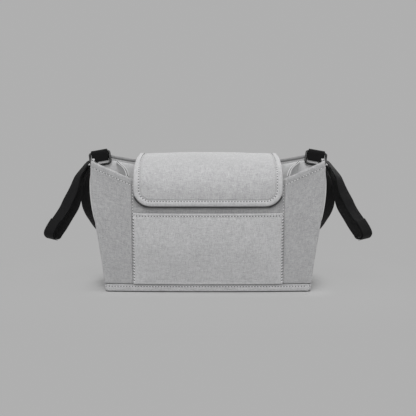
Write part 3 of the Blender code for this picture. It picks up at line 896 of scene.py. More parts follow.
class ORGANIZER_OT_finishes(bpy.types.Operator):
    """Make the node groups and the materials of every piece"""
    bl_idname = "organizer.finishes"
    bl_label = "Finishes"

    def execute(self, context):
        cloth = context.scene.organizer_cloth
        weave_group()
        rib_group()
        pitch = cloth.thread_pitch
        # The walls take the pocket's fibres darkened to 0.80: painted shade for the ends of the front wall,
        # which turn away from the light.
        cloth_look("Shaded wall cloth", shade(cloth.wall_light, 0.80), shade(cloth.wall_dark, 0.80), pitch)
        cloth_look("Pocket cloth", cloth.wall_light, cloth.wall_dark, pitch)
        # The flap pad takes the border's fibres darkened to 0.91: painted shade against the light on its
        # upturned face.
        cloth_look("Shaded flap cloth", shade(cloth.flap_light, 0.91), shade(cloth.flap_dark, 0.91), pitch)
        cloth_look("Border cloth", cloth.flap_light, cloth.flap_dark, pitch, slub=1.8)
        cloth_look("Roll cloth", shade(cloth.wall_light, 0.54), shade(cloth.wall_dark, 0.5), pitch)
        cloth_look("Lining cloth", shade(cloth.lining_colour, 0.98), shade(cloth.lining_colour, 0.6),
                   pitch * 0.8, roughness=0.8, sheen=0.1, relief=0.4)
        webbing_look("Ribbed webbing", cloth.webbing_colour, cloth.rib_pitch, 0.22, 1.0)
        webbing_look("Smooth patch", cloth.webbing_colour, cloth.rib_pitch * 0.35, 0.08, 0.25, 0.5)
        plastic_look("Ring plastic", cloth.plastic_colour)
        thread_look("Grey thread", cloth.thread_colour)
        # A near-black finish for painted shade: the dots between stitches, the line under the flap, the
        # ring round the foot of the base and the line along the dividers.
        thread_look("Seam shade", shade(cloth.wall_dark, 0.1))
        tape_look("Closure tape", cloth.wall_dark)
        board_look("Board", cloth.wall_dark)
        return {"FINISHED"}


# Walls

# Columns of the front wall round its two seams, and the columns and rows kept free at a wall's edges
NEAR_SEAM = (-0.0030, -0.0016, -0.0006, 0.0004, 0.0012, 0.0020, 0.0030, 0.0045)
SIDE_FREE = 0.009
FOOT_FREE = 0.007
HEM_FREE = 0.0045

# Size of the broad and of the small unevenness of the cloth, each as (height, width)
BROAD = (0.0010, 0.045)
SMALL = (0.00018, 0.014)


def wall_columns(half_at, spacing, marks=()):
    """Columns as (fixed, share) pairs, so that x = fixed + share * half_at(z), from left to right."""
    right = [(mark, 0.0) for mark in marks]
    inner = marks[-1] if marks else 0.0
    count = max(2, round((half_at - SIDE_FREE - inner) / spacing))
    for step in range(1 if marks else 0, count + 1):
        share = step / count
        right.append((mix(inner, -SIDE_FREE, share), share))
    right += [(-distance, 1.0) for distance in reversed((0.0, *ROUND_EDGE))]
    mirrored = right[1:] if right[0] == (0.0, 0.0) else right
    return [(-fixed, -share) for fixed, share in reversed(mirrored)] + right


def wall_rows(hem, spacing, height):
    """Rows as (fixed, share) pairs, so that z = fixed + share * top, from the foot to the rim."""
    rows = [(WALL_FOOT + distance, 0.0) for distance in (0.0, *ROUND_EDGE)]
    low = WALL_FOOT + FOOT_FREE
    high = hem + HEM_FREE
    count = max(2, round((height - low - high) / spacing))
    for step in range(count + 1):
        share = step / count
        rows.append((mix(low, -high, share), share))
    for distance in (0.0025, 0.0012, 0.0, -0.0012, -0.0025):
        rows.append((-hem - distance, 1.0))
    middle = (0.0055, *reversed(ROUND_EDGE), 0.0)
    rows += [(-distance, 1.0) for distance in middle if distance < hem - 0.003]
    return rows


def wall_grid(rows, columns, rim_half, top_at, half_at, y_at):
    """Points of a wall's outer face, and at each (x, z, way down from the rim, way in from the side)."""
    points, spots = [], []
    for fixed_z, share_z in rows:
        line, spot_line = [], []
        for fixed_x, share_x in columns:
            top = top_at(fixed_x + share_x * rim_half)
            z = fixed_z + share_z * top
            x = fixed_x + share_x * half_at(z)
            line.append(Vector((x, y_at(x, z), z)))
            spot_line.append((x, z, top - z, half_at(z) - abs(x)))
        points.append(line)
        spots.append(spot_line)
    return points, spots


def wall_border(spots):
    """Distance to a wall's nearest edge, for the spots of its grid."""
    def border(i, j):
        _, z, below, beside = spots[i][j]
        return min(below, beside, z - WALL_FOOT)

    return border


def wrinkle(x, y, size, seed):
    """Gentle unevenness, from -1 to 1."""
    return noise.noise(Vector((x / size, y / size, seed * 7.3)))


def wall_unevenness(x, z, seed):
    return BROAD[0] * wrinkle(x, z, BROAD[1], seed) + SMALL[0] * wrinkle(x, z, SMALL[1], seed + 1)


def seam_lift(distance, sewing):
    """Height of a folded hem at a distance from its edge, with the stitched line drawn in."""
    fold = sewing.hem_rise * (1.0 - smooth((distance - sewing.hem + 0.0004) / 0.0016))
    return fold - sewing.groove * bump(distance - sewing.hem, 0.0011)


class ORGANIZER_OT_walls(bpy.types.Operator):
    """Sew the front wall, the back wall and the two side gussets"""
    bl_idname = "organizer.walls"
    bl_label = "Walls"

    def execute(self, context):
        sewing = context.scene.organizer_sewing
        padding = context.scene.organizer_padding
        self.front(sewing, padding)
        self.back(sewing, padding)
        for label, side in SIDES:
            self.gusset(label, side, sewing)
        return {"FINISHED"}

    def front(self, sewing, padding):
        near_seam = [SEAM_HALF + offset for offset in NEAR_SEAM]
        marks = [*steps(near_seam[0], 0.0048)[:-1], *near_seam]
        columns = wall_columns(RIM_WIDTH / 2, 0.0034, marks)
        rows = wall_rows(sewing.hem, 0.0038, RIM_HEIGHT - FRONT_DIP / 2)
        points, spots = wall_grid(rows, columns, RIM_WIDTH / 2, front_top, front_half, front_y)

        def lift(i, j):
            x, z, below, _ = spots[i][j]
            ridge = FRONT_RIDGE * bump(abs(x) - FRONT_RIDGE_AT, 0.0016)
            drawn = sewing.groove * bump(abs(x) - FRONT_SEAM, 0.0008)
            uneven = wall_unevenness(x, z, 1)
            between = smooth((z - POCKET_TOP + 0.014) / 0.012) * (1.0 - smooth((z - FLAP_LOW) / 0.005))
            full = FRONT_SWELL * between * (1.0 - smooth((abs(x) - SEAM_HALF + 0.016) / 0.013))
            return seam_lift(below, sewing) + ridge - drawn + uneven + full

        def hold(i, j):
            x, z, below, beside = spots[i][j]
            edge = max(held(min(below, z - WALL_FOOT)), held(beside, 0.022))
            seams = max(bump(abs(x) - SEAM_HALF - 0.0010, 0.0022), bump(below - sewing.hem, 0.0016))
            covered = 1.0 if abs(x) < SEAM_HALF else 0.0
            return min(1.0, max(edge, seams, covered))

        wall = padded_sheet("front_wall", points, wall_border(spots), WALL, lambda at: Vector((0, -1, 0)),
                            look("Shaded wall cloth"), lift=lift, hold=hold)
        swell(wall, padding.wall_cap)
        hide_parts("front_panel")

    def back(self, sewing, padding):
        columns = wall_columns(BACK_RIM_WIDTH / 2, 0.0050)
        rows = wall_rows(sewing.hem, 0.0045, RIM_HEIGHT - BACK_DIP / 2)
        points, spots = wall_grid(rows, columns, BACK_RIM_WIDTH / 2, back_top, back_half,
                                  lambda x, z: half_depth(z))

        def covered(x, z):
            """1 where the flap or a tab is sewn on, so that the wall stays flat under it."""
            flap = (1.0 - smooth((abs(x) - FLAP_HALF) / 0.004)) * smooth((z - RIM_HEIGHT + 0.045) / 0.006)
            tab = 1.0 - smooth((abs(abs(x) - TAB_CENTRE) - TAB_WIDTH / 2 - 0.003) / 0.004)
            return max(flap, tab * smooth((z - RIM_HEIGHT + 0.034) / 0.006))

        def lift(i, j):
            x, z, below, _ = spots[i][j]
            return (seam_lift(below, sewing) + wall_unevenness(x, z, 3)) * (1.0 - covered(x, z))

        def hold(i, j):
            x, z, below, beside = spots[i][j]
            edge = held(min(below, beside, z - WALL_FOOT))
            return min(1.0, max(edge, bump(below - sewing.hem, 0.0016), covered(x, z)))

        wall = padded_sheet("back_wall", points, wall_border(spots), WALL, lambda at: Vector((0, 1, 0)),
                            look("Shaded wall cloth"), lift=lift, hold=hold)
        swell(wall, padding.wall_cap)
        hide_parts("back_panel")

    def gusset(self, label, side, sewing):
        reach_rim = RIM_DEPTH / 2 - WALL - GAP
        depths = steps(2 * reach_rim, 0.0036, ROUND_EDGE)
        rows = wall_rows(sewing.hem, 0.0048, RIM_HEIGHT - SIDE_DIP)
        points, spots = [], []
        for fixed_z, share_z in rows:
            line, spot_line = [], []
            for depth in depths:
                share = depth / (2 * reach_rim)
                top = side_top(mix(-reach_rim, reach_rim, share))
                z = fixed_z + share_z * top
                reach = half_depth(z) - WALL - GAP
                y = mix(-reach, reach, share)
                line.append(Vector((side * side_x(y, z), y, z)))
                spot_line.append((y, z, top - z, reach - abs(y)))
            points.append(line)
            spots.append(spot_line)

        def strap_foot(y, z):
            """1 under the strap's sewn end, where the gusset stays flat."""
            return (1.0 - smooth((abs(y - STRAP_Y) - 0.014) / 0.006)) * (1.0 - smooth((z - 0.066) / 0.01))

        def lift(i, j):
            y, z, below, _ = spots[i][j]
            uneven = 0.0004 * wrinkle(y, z, 0.040, 5 + side) + 0.00018 * wrinkle(y, z, 0.013, 8 + side)
            return min(0.0, seam_lift(below, sewing) + uneven) * (1.0 - strap_foot(y, z))

        def hold(i, j):
            y, z, below, beside = spots[i][j]
            edge = held(min(below, beside, z - WALL_FOOT))
            under_strap = 1.0 - smooth((abs(y - STRAP_Y) - 0.020) / 0.01)
            return min(1.0, max(edge, bump(below - sewing.hem, 0.0016), under_strap))

        wall = padded_sheet(f"gusset_{label}", points, wall_border(spots), WALL,
                            lambda at: Vector((side, 0, 0)), look("Shaded wall cloth"),
                            lift=lift, hold=hold)
        swell(wall, 0.0012)
        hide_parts(f"side_gusset_{label}")


# Base and lining

def plan_ring(inset, corner, height, spacing=0.005):
    """Points round the bag at an inset from its outer face; height(x, y) gives each point's z."""
    reach_x = BASE_WIDTH / 2 - inset
    reach_y = BASE_DEPTH / 2 - inset
    plan = []
    long_steps = round(BASE_WIDTH / spacing)
    short_steps = round(BASE_DEPTH / spacing)
    turns = 5
    for quarter, (sx, sy) in enumerate(((1, -1), (1, 1), (-1, 1), (-1, -1))):
        cx, cy = sx * (reach_x - corner), sy * (reach_y - corner)
        for step in range(turns + 1):
            angle = math.radians(-90 + 90 * quarter + 90 * step / turns)
            plan.append((cx + corner * math.cos(angle), cy + corner * math.sin(angle)))
        count = short_steps if quarter in (0, 2) else long_steps
        nx, ny = ((1, 1), (-1, 1), (-1, -1), (1, -1))[quarter]
        end = (nx * (reach_x - corner), ny * (reach_y - corner))
        angle = math.radians(90 * quarter)
        end = (end[0] + corner * math.cos(angle), end[1] + corner * math.sin(angle))
        begin = plan[-1]
        for step in range(1, count):
            plan.append((mix(begin[0], end[0], step / count), mix(begin[1], end[1], step / count)))
    placed = []
    for x, y in plan:
        z = height(x, y)
        depth_share = (y + reach_y) / (2 * reach_y)
        half = mix(front_half(z), back_half(z), depth_share) - inset
        wide = x / reach_x * half
        deep = y / reach_y * (half_depth(z) - inset)
        forward = FRONT_BOW * (1.0 - min(1.0, abs(wide) / half) ** 2) * max(0.0, -y / reach_y)
        placed.append(Vector((wide, deep - forward, z)))
    return placed


def cap_ring(shape, loop, uv):
    """Fills a ring from its right end to its left end, point against mirrored point."""
    count = len(loop)
    middle = min((k for k in range(count) if loop[k].co.x > 0), key=lambda k: abs(loop[k].co.y))
    for step in range(count // 2):
        front, behind = (middle - step) % count, (middle + step) % count
        corners = [loop[front], loop[(front - 1) % count], loop[(behind + 1) % count], loop[behind]]
        distinct = list(dict.fromkeys(corners))
        if len(distinct) < 3:
            continue
        face = shape.faces.new(distinct)
        for corner in face.loops:
            corner[uv].uv = (corner.vert.co.x, corner.vert.co.y)


def lofted(name, rings, finish):
    """A skin through closed rings of points, with both ends closed, and a UV map in metres."""
    mesh = bpy.data.meshes.new(name)
    shape = bmesh.new()
    uv = shape.loops.layers.uv.new("UVMap")
    loops = [[shape.verts.new(point) for point in ring] for ring in rings]
    count = len(rings[0])
    around = lengths_of([*rings[len(rings) // 2], rings[len(rings) // 2][0]])
    rise = 0.0
    for step in range(len(loops) - 1):
        ahead = rise + (rings[step + 1][0] - rings[step][0]).length
        for index in range(count):
            after = (index + 1) % count
            face = shape.faces.new((loops[step][index], loops[step][after],
                                    loops[step + 1][after], loops[step + 1][index]))
            corners = ((around[index], rise), (around[index + 1], rise),
                       (around[index + 1], ahead), (around[index], ahead))
            for loop, corner in zip(face.loops, corners):
                loop[uv].uv = corner
        rise = ahead
    for loop in (loops[0], loops[-1]):
        cap_ring(shape, loop, uv)
    bmesh.ops.recalc_face_normals(shape, faces=shape.faces)
    shape.to_mesh(mesh)
    shape.free()
    return finish_mesh(name, mesh, finish, "bag")


class ORGANIZER_OT_base(bpy.types.Operator):
    """Sew the base cloth, turned up as the band under the walls"""
    bl_idname = "organizer.base"
    bl_label = "Base"

    def execute(self, context):
        sewing = context.scene.organizer_sewing
        rings = []

        def ring(inset, z):
            corner = max(0.0015, BASE_CORNER - inset * 0.5)
            rings.append(plan_ring(inset, corner, lambda x, y: z))

        for inset in (0.050, 0.040, 0.030, 0.020, 0.012, 0.006):
            ring(inset, 0.0)
        for angle in (0, 22, 45, 67, 90):
            around = math.radians(angle)
            ring(BASE_EDGE * (1 - math.sin(around)), BASE_EDGE * (1 - math.cos(around)))
        for z in (0.0036, 0.0052, 0.0068):
            ring(-0.0003, z)
        ring(0.0, BAND_SEAM - 0.0008)
        ring(sewing.groove * 0.8, BAND_SEAM)
        ring(-0.0001, BAND_SEAM + 0.0008)
        ring(-0.0002, BAND_HEIGHT - 0.0012)
        ring(0.0003, BAND_HEIGHT - 0.0003)
        ring(0.0011, BAND_HEIGHT)
        ring(0.0020, BAND_HEIGHT - 0.0004)
        ring(BASE_CLOTH, BAND_HEIGHT - 0.0014)
        ring(BASE_CLOTH, BASE_CLOTH)
        ring(0.012, BASE_CLOTH)
        ring(0.050, BASE_CLOTH)
        base = lofted("base_cloth", rings, look("Pocket cloth"))
        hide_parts("base_tray")
        # A dark ring in the seam-shade finish round the foot of the base, standing just proud of the band's
        # rounded lower edge: painted shadow where the base meets the floor.
        foot = [plan_ring(inset, BASE_CORNER, lambda x, y: z) for inset, z in
                ((0.0040, 0.0003), (0.0006, 0.0002), (-0.0002, 0.0006), (-0.0002, 0.0014),
                 (0.0004, 0.0020), (0.0040, 0.0022))]
        lofted("base_edge_shadow", foot, look("Seam shade"))
        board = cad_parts["base_board"]
        board.data.materials.clear()
        board.data.materials.append(look("Board"))
        return {"FINISHED"}


class ORGANIZER_OT_lining(bpy.types.Operator):
    """Sew the lining and the curved walls of the cup holders"""
    bl_idname = "organizer.lining"
    bl_label = "Lining"

    def execute(self, context):
        self.skin()
        for label, side in SIDES:
            self.divider(label, side)
        return {"FINISHED"}

    def skin(self):
        inset = WALL + GAP
        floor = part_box("lining")[0].z + LINING
        reach_y = BASE_DEPTH / 2 - inset

        def rim(x, y):
            """Height of the lining's upper edge over a place of the base."""
            share_x, share_y = x / (BASE_WIDTH / 2), y / (BASE_DEPTH / 2)
            front = front_top(share_x * (RIM_WIDTH / 2))
            back = back_top(share_x * (BACK_RIM_WIDTH / 2))
            along = front if y < 0 else back
            side = side_top(share_y * (RIM_DEPTH / 2))
            ends = min(side, along) if abs(x) > BASE_WIDTH / 2 - inset - 0.004 else along
            return mix(ends, along, smooth((abs(y) - reach_y + 0.004) / 0.004)) - LINING_DROP

        def height(share):
            return lambda x, y: mix(floor, rim(x, y), share)

        outer = [plan_ring(inset, BASE_CORNER, lambda x, y: floor - LINING, 0.006)]
        shares = [step / 26 for step in range(27)]
        for share in shares:
            outer.append(plan_ring(inset, BASE_CORNER, height(share), 0.006))
        inner = []
        for share in reversed(shares):
            ring = plan_ring(inset + LINING, BASE_CORNER - LINING, height(share), 0.006)
            if 0.02 < share < 0.98:
                for index, point in enumerate(ring):
                    slack = 0.0010 * max(0.0, wrinkle(point.x + point.y, point.z, 0.030, 11))
                    inward = -math.copysign(slack, point.x) if abs(point.y) < reach_y - 0.002 else 0.0
                    ring[index] = point + Vector((inward, -math.copysign(slack, point.y), 0))
            inner.append(ring)
        lining = lofted("lining_skin", outer + inner, look("Lining cloth"))
        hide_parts("lining")

    def divider(self, label, side):
        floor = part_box(f"cup_divider_{label}")[0].z
        columns, rows = 60, 34
        across = [value[0] for value in catmull([(value,) for value in DIVIDER_ROUTE], columns)]

        def spot(u, v):
            top = RIM_HEIGHT - mix(DIVIDER_BACK_DROP, DIVIDER_FRONT_DROP, u)
            z = mix(floor, top, v)
            x = across[round(u * columns)] - DIVIDER_LEAN * (1.0 - v)
            back = half_depth(z) - WALL - LINING - 3 * GAP
            front = front_y(x, z) + WALL + LINING + 3 * GAP
            return Vector((side * x, mix(back, front, u), z))

        points = []
        border_at = []
        for i in range(rows + 1):
            v = 1.0 - (1.0 - i / rows) ** 1.6
            line = [spot(j / columns, v) for j in range(columns + 1)]
            points.append(line)
            border_at.append(v)
        middle = [[point + Vector((-side * DIVIDER / 2, 0, 0)) for point in line] for line in points]

        def border(i, j):
            v = border_at[i]
            edge = min(j, columns - j) / columns * 0.115
            return min(edge, (1.0 - v) * 0.18, v * 0.18)

        wall = padded_sheet(f"divider_{label}", middle, border, DIVIDER, lambda at: Vector((-side, 0, 0)),
                            look("Lining cloth"))
        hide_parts(f"cup_divider_{label}")
        # Two lips along the top edge in the lining cloth, with a thin dark tube in the seam-shade finish
        # between them: painted shade for the dark line along the divider's edge.
        trims = (("lip_outer", -0.0015, 0.0008, "Lining cloth"), ("shade_line", 0.0, 0.0007, "Seam shade"),
                 ("lip_inner", 0.0015, 0.0008, "Lining cloth"))
        for trim, offset, radius, finish in trims:
            edge = [spot(j / columns, 1.0) + Vector((side * offset, 0, -0.0004)) for j in range(1, columns)]
            frames = path_frames(edge, lambda index: Vector((0, 0, 1)))
            swept(f"divider_{trim}_{label}", frames, round_section(radius, 8), look(finish),
                  "bag")


# Pocket

class ORGANIZER_OT_pocket(bpy.types.Operator):
    """Sew the slip pocket on the front wall"""
    bl_idname = "organizer.pocket"
    bl_label = "Front pocket"

    def execute(self, context):
        sewing = context.scene.organizer_sewing
        height = POCKET_TOP - POCKET_LOW
        across = steps(2 * SEAM_HALF, 0.0036, (0.0004, 0.0010, 0.0017, 0.0025, 0.0040))
        up = steps(height, 0.0036, ROUND_EDGE,
                   (0.0003, 0.0009, 0.0018, 0.0030, 0.0040, 0.0050, 0.0065))
        points = []
        for rise in up:
            z = POCKET_LOW + rise
            line = []
            for step in across:
                x = step - SEAM_HALF
                share = min(1.0, abs(x) / SEAM_HALF)
                puff = POCKET_PUFF * math.sqrt(max(0.0, 1.0 - share ** 4)) * smooth(rise / height * 1.6)
                line.append(Vector((x, front_y(x, z) - GAP - POCKET_CLOTH - puff, z)))
            points.append(line)

        def border(i, j):
            return min(up[i], up[-1] - up[i], across[j], across[-1] - across[j])

        def lift(i, j):
            below = up[-1] - up[i]
            beside = min(across[j], across[-1] - across[j])
            from_seam = below - POCKET_HEM
            top = 0.0005 * (1.0 - smooth(from_seam / 0.0014)) - sewing.groove * bump(from_seam, 0.0010)
            side = -0.8 * sewing.groove * bump(beside - POCKET_SEAM, 0.0009)
            broad = 0.0011 * wrinkle(across[j], up[i], 0.050, 21)
            small = 0.0002 * wrinkle(across[j], up[i], 0.016, 22)
            return top + side + broad + small

        def hold(i, j):
            below = up[-1] - up[i]
            edge = min(across[j], across[-1] - across[j], up[i])
            return min(1.0, max(1.0 - smooth((edge - 0.002) / 0.004), 0.5 * bump(below - POCKET_HEM, 0.002),
                                0.8 * bump(below, 0.003)))

        pocket = padded_sheet("pocket_cloth", points, border, POCKET_CLOTH, lambda at: Vector((0, -1, 0)),
                              look("Pocket cloth"), lift=lift, hold=hold)
        swell(pocket, 0.0016, pressure=2.5)
        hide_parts("front_pocket")
        return {"FINISHED"}


# Flap

def flap_thick():
    return FLAP_PAD + FLAP_LINING + 2 * GAP


def flap_line():
    """The flap's outer face in side view, from its back seam over the rim and down the front."""
    back_low = RIM_HEIGHT - BACK_DIP
    back = half_depth(back_low) + flap_thick() + GAP
    seam = half_depth(back_low - BACK_SEAM) + flap_thick() + GAP
    bead = 2 * ROLL_RADIUS
    crown = back_low + FLAP_CROWN
    front = half_depth(FLAP_LOW) + FRONT_BOW
    shoulder = RIM_HEIGHT - FRONT_DIP
    points = [
        (seam, back_low - BACK_SEAM),
        (back + 0.0002, back_low - 0.009),
        (back + 0.0026, back_low + bead + 0.0020),
        (back - 0.0030, back_low + bead + 0.0120),
        (back - 0.0250, crown - 0.0004),
        (0.012, crown + 0.0002),
        (-0.018, crown - 0.0020),
        (-0.042, crown - 0.0080),
        (-front + 0.0010, shoulder + 0.0170),
        (-front - FLAP_STANDOFF * 0.80, shoulder + 0.0010),
        (-front - FLAP_STANDOFF, mix(shoulder, FLAP_LOW, 0.5)),
        (-front - FLAP_STANDOFF * 0.96, FLAP_LOW),
    ]
    return Line(catmull(points, 60))


FLAP = flap_line()


def flap_spot(x, share, depth=0.0):
    """A point of the flap at x, at a share of its length, at a depth under its outer face."""
    y, z = FLAP.at(share)
    y_before, z_before = FLAP.at(share - 0.01)
    y_after, z_after = FLAP.at(share + 0.01)
    run = Vector((0, y_after - y_before, z_after - z_before)).normalized()
    normal = Vector((0, run.z, -run.y))
    across = x / FLAP_HALF
    rise = smooth((share - 0.14) / 0.2) * (1.0 - 0.75 * smooth((share - 0.5) / 0.3))
    fall = FLAP_EDGE_FALL * abs(across) ** 2.6 * rise
    return Vector((x, y, z)) - normal * (fall + depth)


def flap_end(x, inset):
    """How far down the flap reaches at x, as a share, with its lower corners rounded."""
    half = FLAP_HALF - inset
    radius = FLAP_CORNER - inset
    over = max(0.0, abs(x) - (half - radius))
    lift = radius - math.sqrt(max(0.0, radius * radius - over * over))
    return 1.0 - (inset + lift) / FLAP.length


def flap_outward(_):
    """The way that the flap's outer face looks, forward and up."""
    return Vector((0, -0.6, 1))


def flap_outline():
    """Outline of the flap as (x, distance from the back, inward direction) from left to right."""
    straight = FLAP.length - FLAP_CORNER
    spots = []
    for distance in steps(straight, 0.0040, ROUND_EDGE, ()):
        spots.append((-FLAP_HALF, distance, 1.0, 0.0))
    for step in range(1, 13):
        angle = math.pi / 2 * step / 12
        spots.append((-(FLAP_HALF - FLAP_CORNER) - FLAP_CORNER * math.cos(angle),
                      straight + FLAP_CORNER * math.sin(angle), math.cos(angle), -math.sin(angle)))
    for step in range(1, 21):
        spots.append((mix(-(FLAP_HALF - FLAP_CORNER), 0.0, step / 20), FLAP.length, 0.0, -1.0))
    return spots + [(-x, distance, -inward, down) for x, distance, inward, down in reversed(spots[:-1])]


class ORGANIZER_OT_flap(bpy.types.Operator):
    """Sew the padded flap, its wide border and its lining"""
    bl_idname = "organizer.flap"
    bl_label = "Flap"

    def execute(self, context):
        self.pad(context)
        self.border(context)
        self.under()
        return {"FINISHED"}

    def pad(self, context):
        inset = FLAP_BORDER - FLAP_TUCK
        half = FLAP_HALF - inset
        across = steps(2 * half, 0.0038, PAD_EDGE)
        shares = [value / FLAP.length for value in steps(FLAP.length, 0.0040, ROUND_EDGE, PAD_EDGE)]
        points, edge = [], []
        for share in shares:
            line, spots = [], []
            for step in across:
                x = step - half
                end = flap_end(x, inset)
                near = min(step, 2 * half - step, share * FLAP.length, (1.0 - share) * end * FLAP.length)
                line.append(flap_spot(x, end * share, 0.0004 + 0.0030 * smooth(near / 0.03)))
                spots.append(near)
            points.append(line)
            edge.append(spots)

        def lift(i, j):
            x = across[j] - half
            run = shares[i] * FLAP.length
            pad = 0.0010 * smooth(edge[i][j] / 0.016)
            uneven = 0.0006 * wrinkle(x, run, 0.055, 31) + 0.00018 * wrinkle(x, run, 0.015, 32)
            return pad + uneven * smooth(edge[i][j] / 0.008)

        def hold(i, j):
            return 1.0 - smooth((edge[i][j] - 0.0012) / 0.006)

        pad = padded_sheet("flap_pad", points, lambda i, j: edge[i][j], FLAP_PAD, flap_outward,
                           look("Shaded flap cloth"), lift=lift, hold=hold, round_to=0.0013)
        swell(pad, context.scene.organizer_padding.flap_cap)
        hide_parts("flap")

    def border(self, context):
        sewing = context.scene.organizer_sewing
        spots = flap_outline()
        widths = (0.0, 0.0004, 0.0011, 0.0022, 0.0040, 0.0058, 0.0070, BORDER_SEAM, 0.0086, 0.0092, 0.0097,
                  FLAP_BORDER)
        points = []
        total = lengths_of([Vector((x, distance, 0)) for x, distance, _, _ in spots])
        for width in widths:
            line = []
            for x, distance, inward, down in spots:
                line.append(flap_spot(x + inward * width, (distance + down * width) / FLAP.length))
            points.append(line)

        def border(i, j):
            side = min(widths[i], FLAP_BORDER - widths[i])
            return min(side, total[j], total[-1] - total[j])

        def lift(i, j):
            drawn = sewing.groove * 1.2 * bump(widths[i] - BORDER_SEAM, 0.0009)
            puff = 0.0006 * bump(widths[i] - 0.0042, 0.003)
            uneven = 0.0003 * wrinkle(total[j], widths[i], 0.012, 41)
            return puff + uneven - drawn

        # A dark tube in the seam-shade finish, set behind the lower edge of the border and its round
        # corners so that it shows just under them: painted shadow under the flap's edge.
        turned = []
        for x, distance, inward, down in spots:
            if down < -0.35:
                share = (distance - down * 0.0009) / FLAP.length
                turned.append(flap_spot(x - inward * 0.0004, share, 0.0040))
        frames = path_frames(turned, lambda index: Vector((0, -1, 0)))
        swept("flap_edge_shadow", frames, round_section(0.0021, 10), look("Seam shade"),
              "bag")

        strip = padded_sheet("flap_border", points, border, flap_thick(), flap_outward,
                             look("Border cloth"), lift=lift, round_to=0.0013)
        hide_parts("flap_binding")

    def under(self):
        inset = FLAP_BORDER + 3 * GAP
        half = FLAP_HALF - inset
        across = steps(2 * half, 0.0070, (0.0004,))
        shares = [value / FLAP.length for value in steps(FLAP.length, 0.0060, (0.0004,))]
        points = []
        for share in shares:
            points.append([flap_spot(step - half, flap_end(step - half, inset) * share, FLAP_PAD + 2 * GAP)
                           for step in across])

        def border(i, j):
            beside = min(across[j], 2 * half - across[j])
            return min(beside, shares[i] * FLAP.length, (1.0 - shares[i]) * FLAP.length)

        skin = padded_sheet("flap_under", points, border, FLAP_LINING, flap_outward,
                            look("Lining cloth"), levels=0)
        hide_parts("flap_lining")


class ORGANIZER_OT_closure(bpy.types.Operator):
    """Give the flap's closure its hook-and-loop finish"""
    bl_idname = "organizer.closure"
    bl_label = "Closure"

    def execute(self, context):
        for name in ("closure_hook_patch", "closure_loop_patch"):
            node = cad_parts[name]
            node.data.materials.clear()
            node.data.materials.append(look("Closure tape"))
        return {"FINISHED"}


# Rims

class ORGANIZER_OT_rims(bpy.types.Operator):
    """Roll the edges of the back wall and the gussets"""
    bl_idname = "organizer.rims"
    bl_label = "Rolled rims"

    def execute(self, context):
        reach = TAB_CENTRE - TAB_WIDTH / 2 - 0.002
        radius = ROLL_RADIUS * ROLL_FULLNESS
        points = []
        for step in range(97):
            x = mix(-reach, reach, step / 96)
            z = back_top(x) + GAP + radius
            points.append(Vector((x, half_depth(z) - WALL / 2, z + 0.0003 * wrinkle(x, 0, 0.012, 51))))
        frames = path_frames(points, lambda index: Vector((0, 0, 1)))
        roll = swept("back_rim_roll", frames, round_section(radius, 12), look("Roll cloth"),
                     "bag", levels=1)
        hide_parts("back_rim_binding")
        for label, side in SIDES:
            self.side(label, side)
        return {"FINISHED"}

    def side(self, label, side):
        lift = SIDE_ROLL_RADIUS + 2 * GAP
        points = []
        for step in range(81):
            y = mix(-GUSSET_REACH, GUSSET_REACH, step / 80)
            slope = (side_top(y + 0.001) - side_top(y - 0.001)) / 0.002
            length = math.hypot(1.0, slope)
            z = side_top(y) + lift / length
            points.append(Vector((side * (side_x(y, z) - WALL / 2), y - lift * slope / length, z)))
        frames = path_frames(points, lambda index: Vector((side, 0, 0)))
        roll = swept(f"side_rim_roll_{label}", frames, round_section(SIDE_ROLL_RADIUS, 10),
                     look("Border cloth"), "bag", levels=1)
        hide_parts(f"side_rim_binding_{label}")


# Tabs and rings

def corner_frame(side):
    """Middle of a tab on the back rim, the axis of its ring, and the way up along the tab."""
    centre = Vector((side * TAB_CENTRE, 0, back_top(TAB_CENTRE)))
    axis = Vector((-side * math.cos(TAB_TILT), 0, math.sin(TAB_TILT)))
    up = Vector((side * math.sin(TAB_TILT), 0, math.cos(TAB_TILT)))
    return centre, axis, up


def tab_faces():
    """Middle of the tab's outer and inner leg, in Y."""
    z = RIM_HEIGHT - TAB_LEG
    outer = half_depth(RIM_HEIGHT) + GAP + WEBBING / 2
    inner = half_depth(z) - WALL - LINING - 3 * GAP - WEBBING / 2
    return outer, inner


# Rows and columns near the long edges and the ends of a ribbon
RIBBON_EDGE = (0.0003, 0.0008, 0.0018)
RIBBON_END = (0.0003, 0.0008)


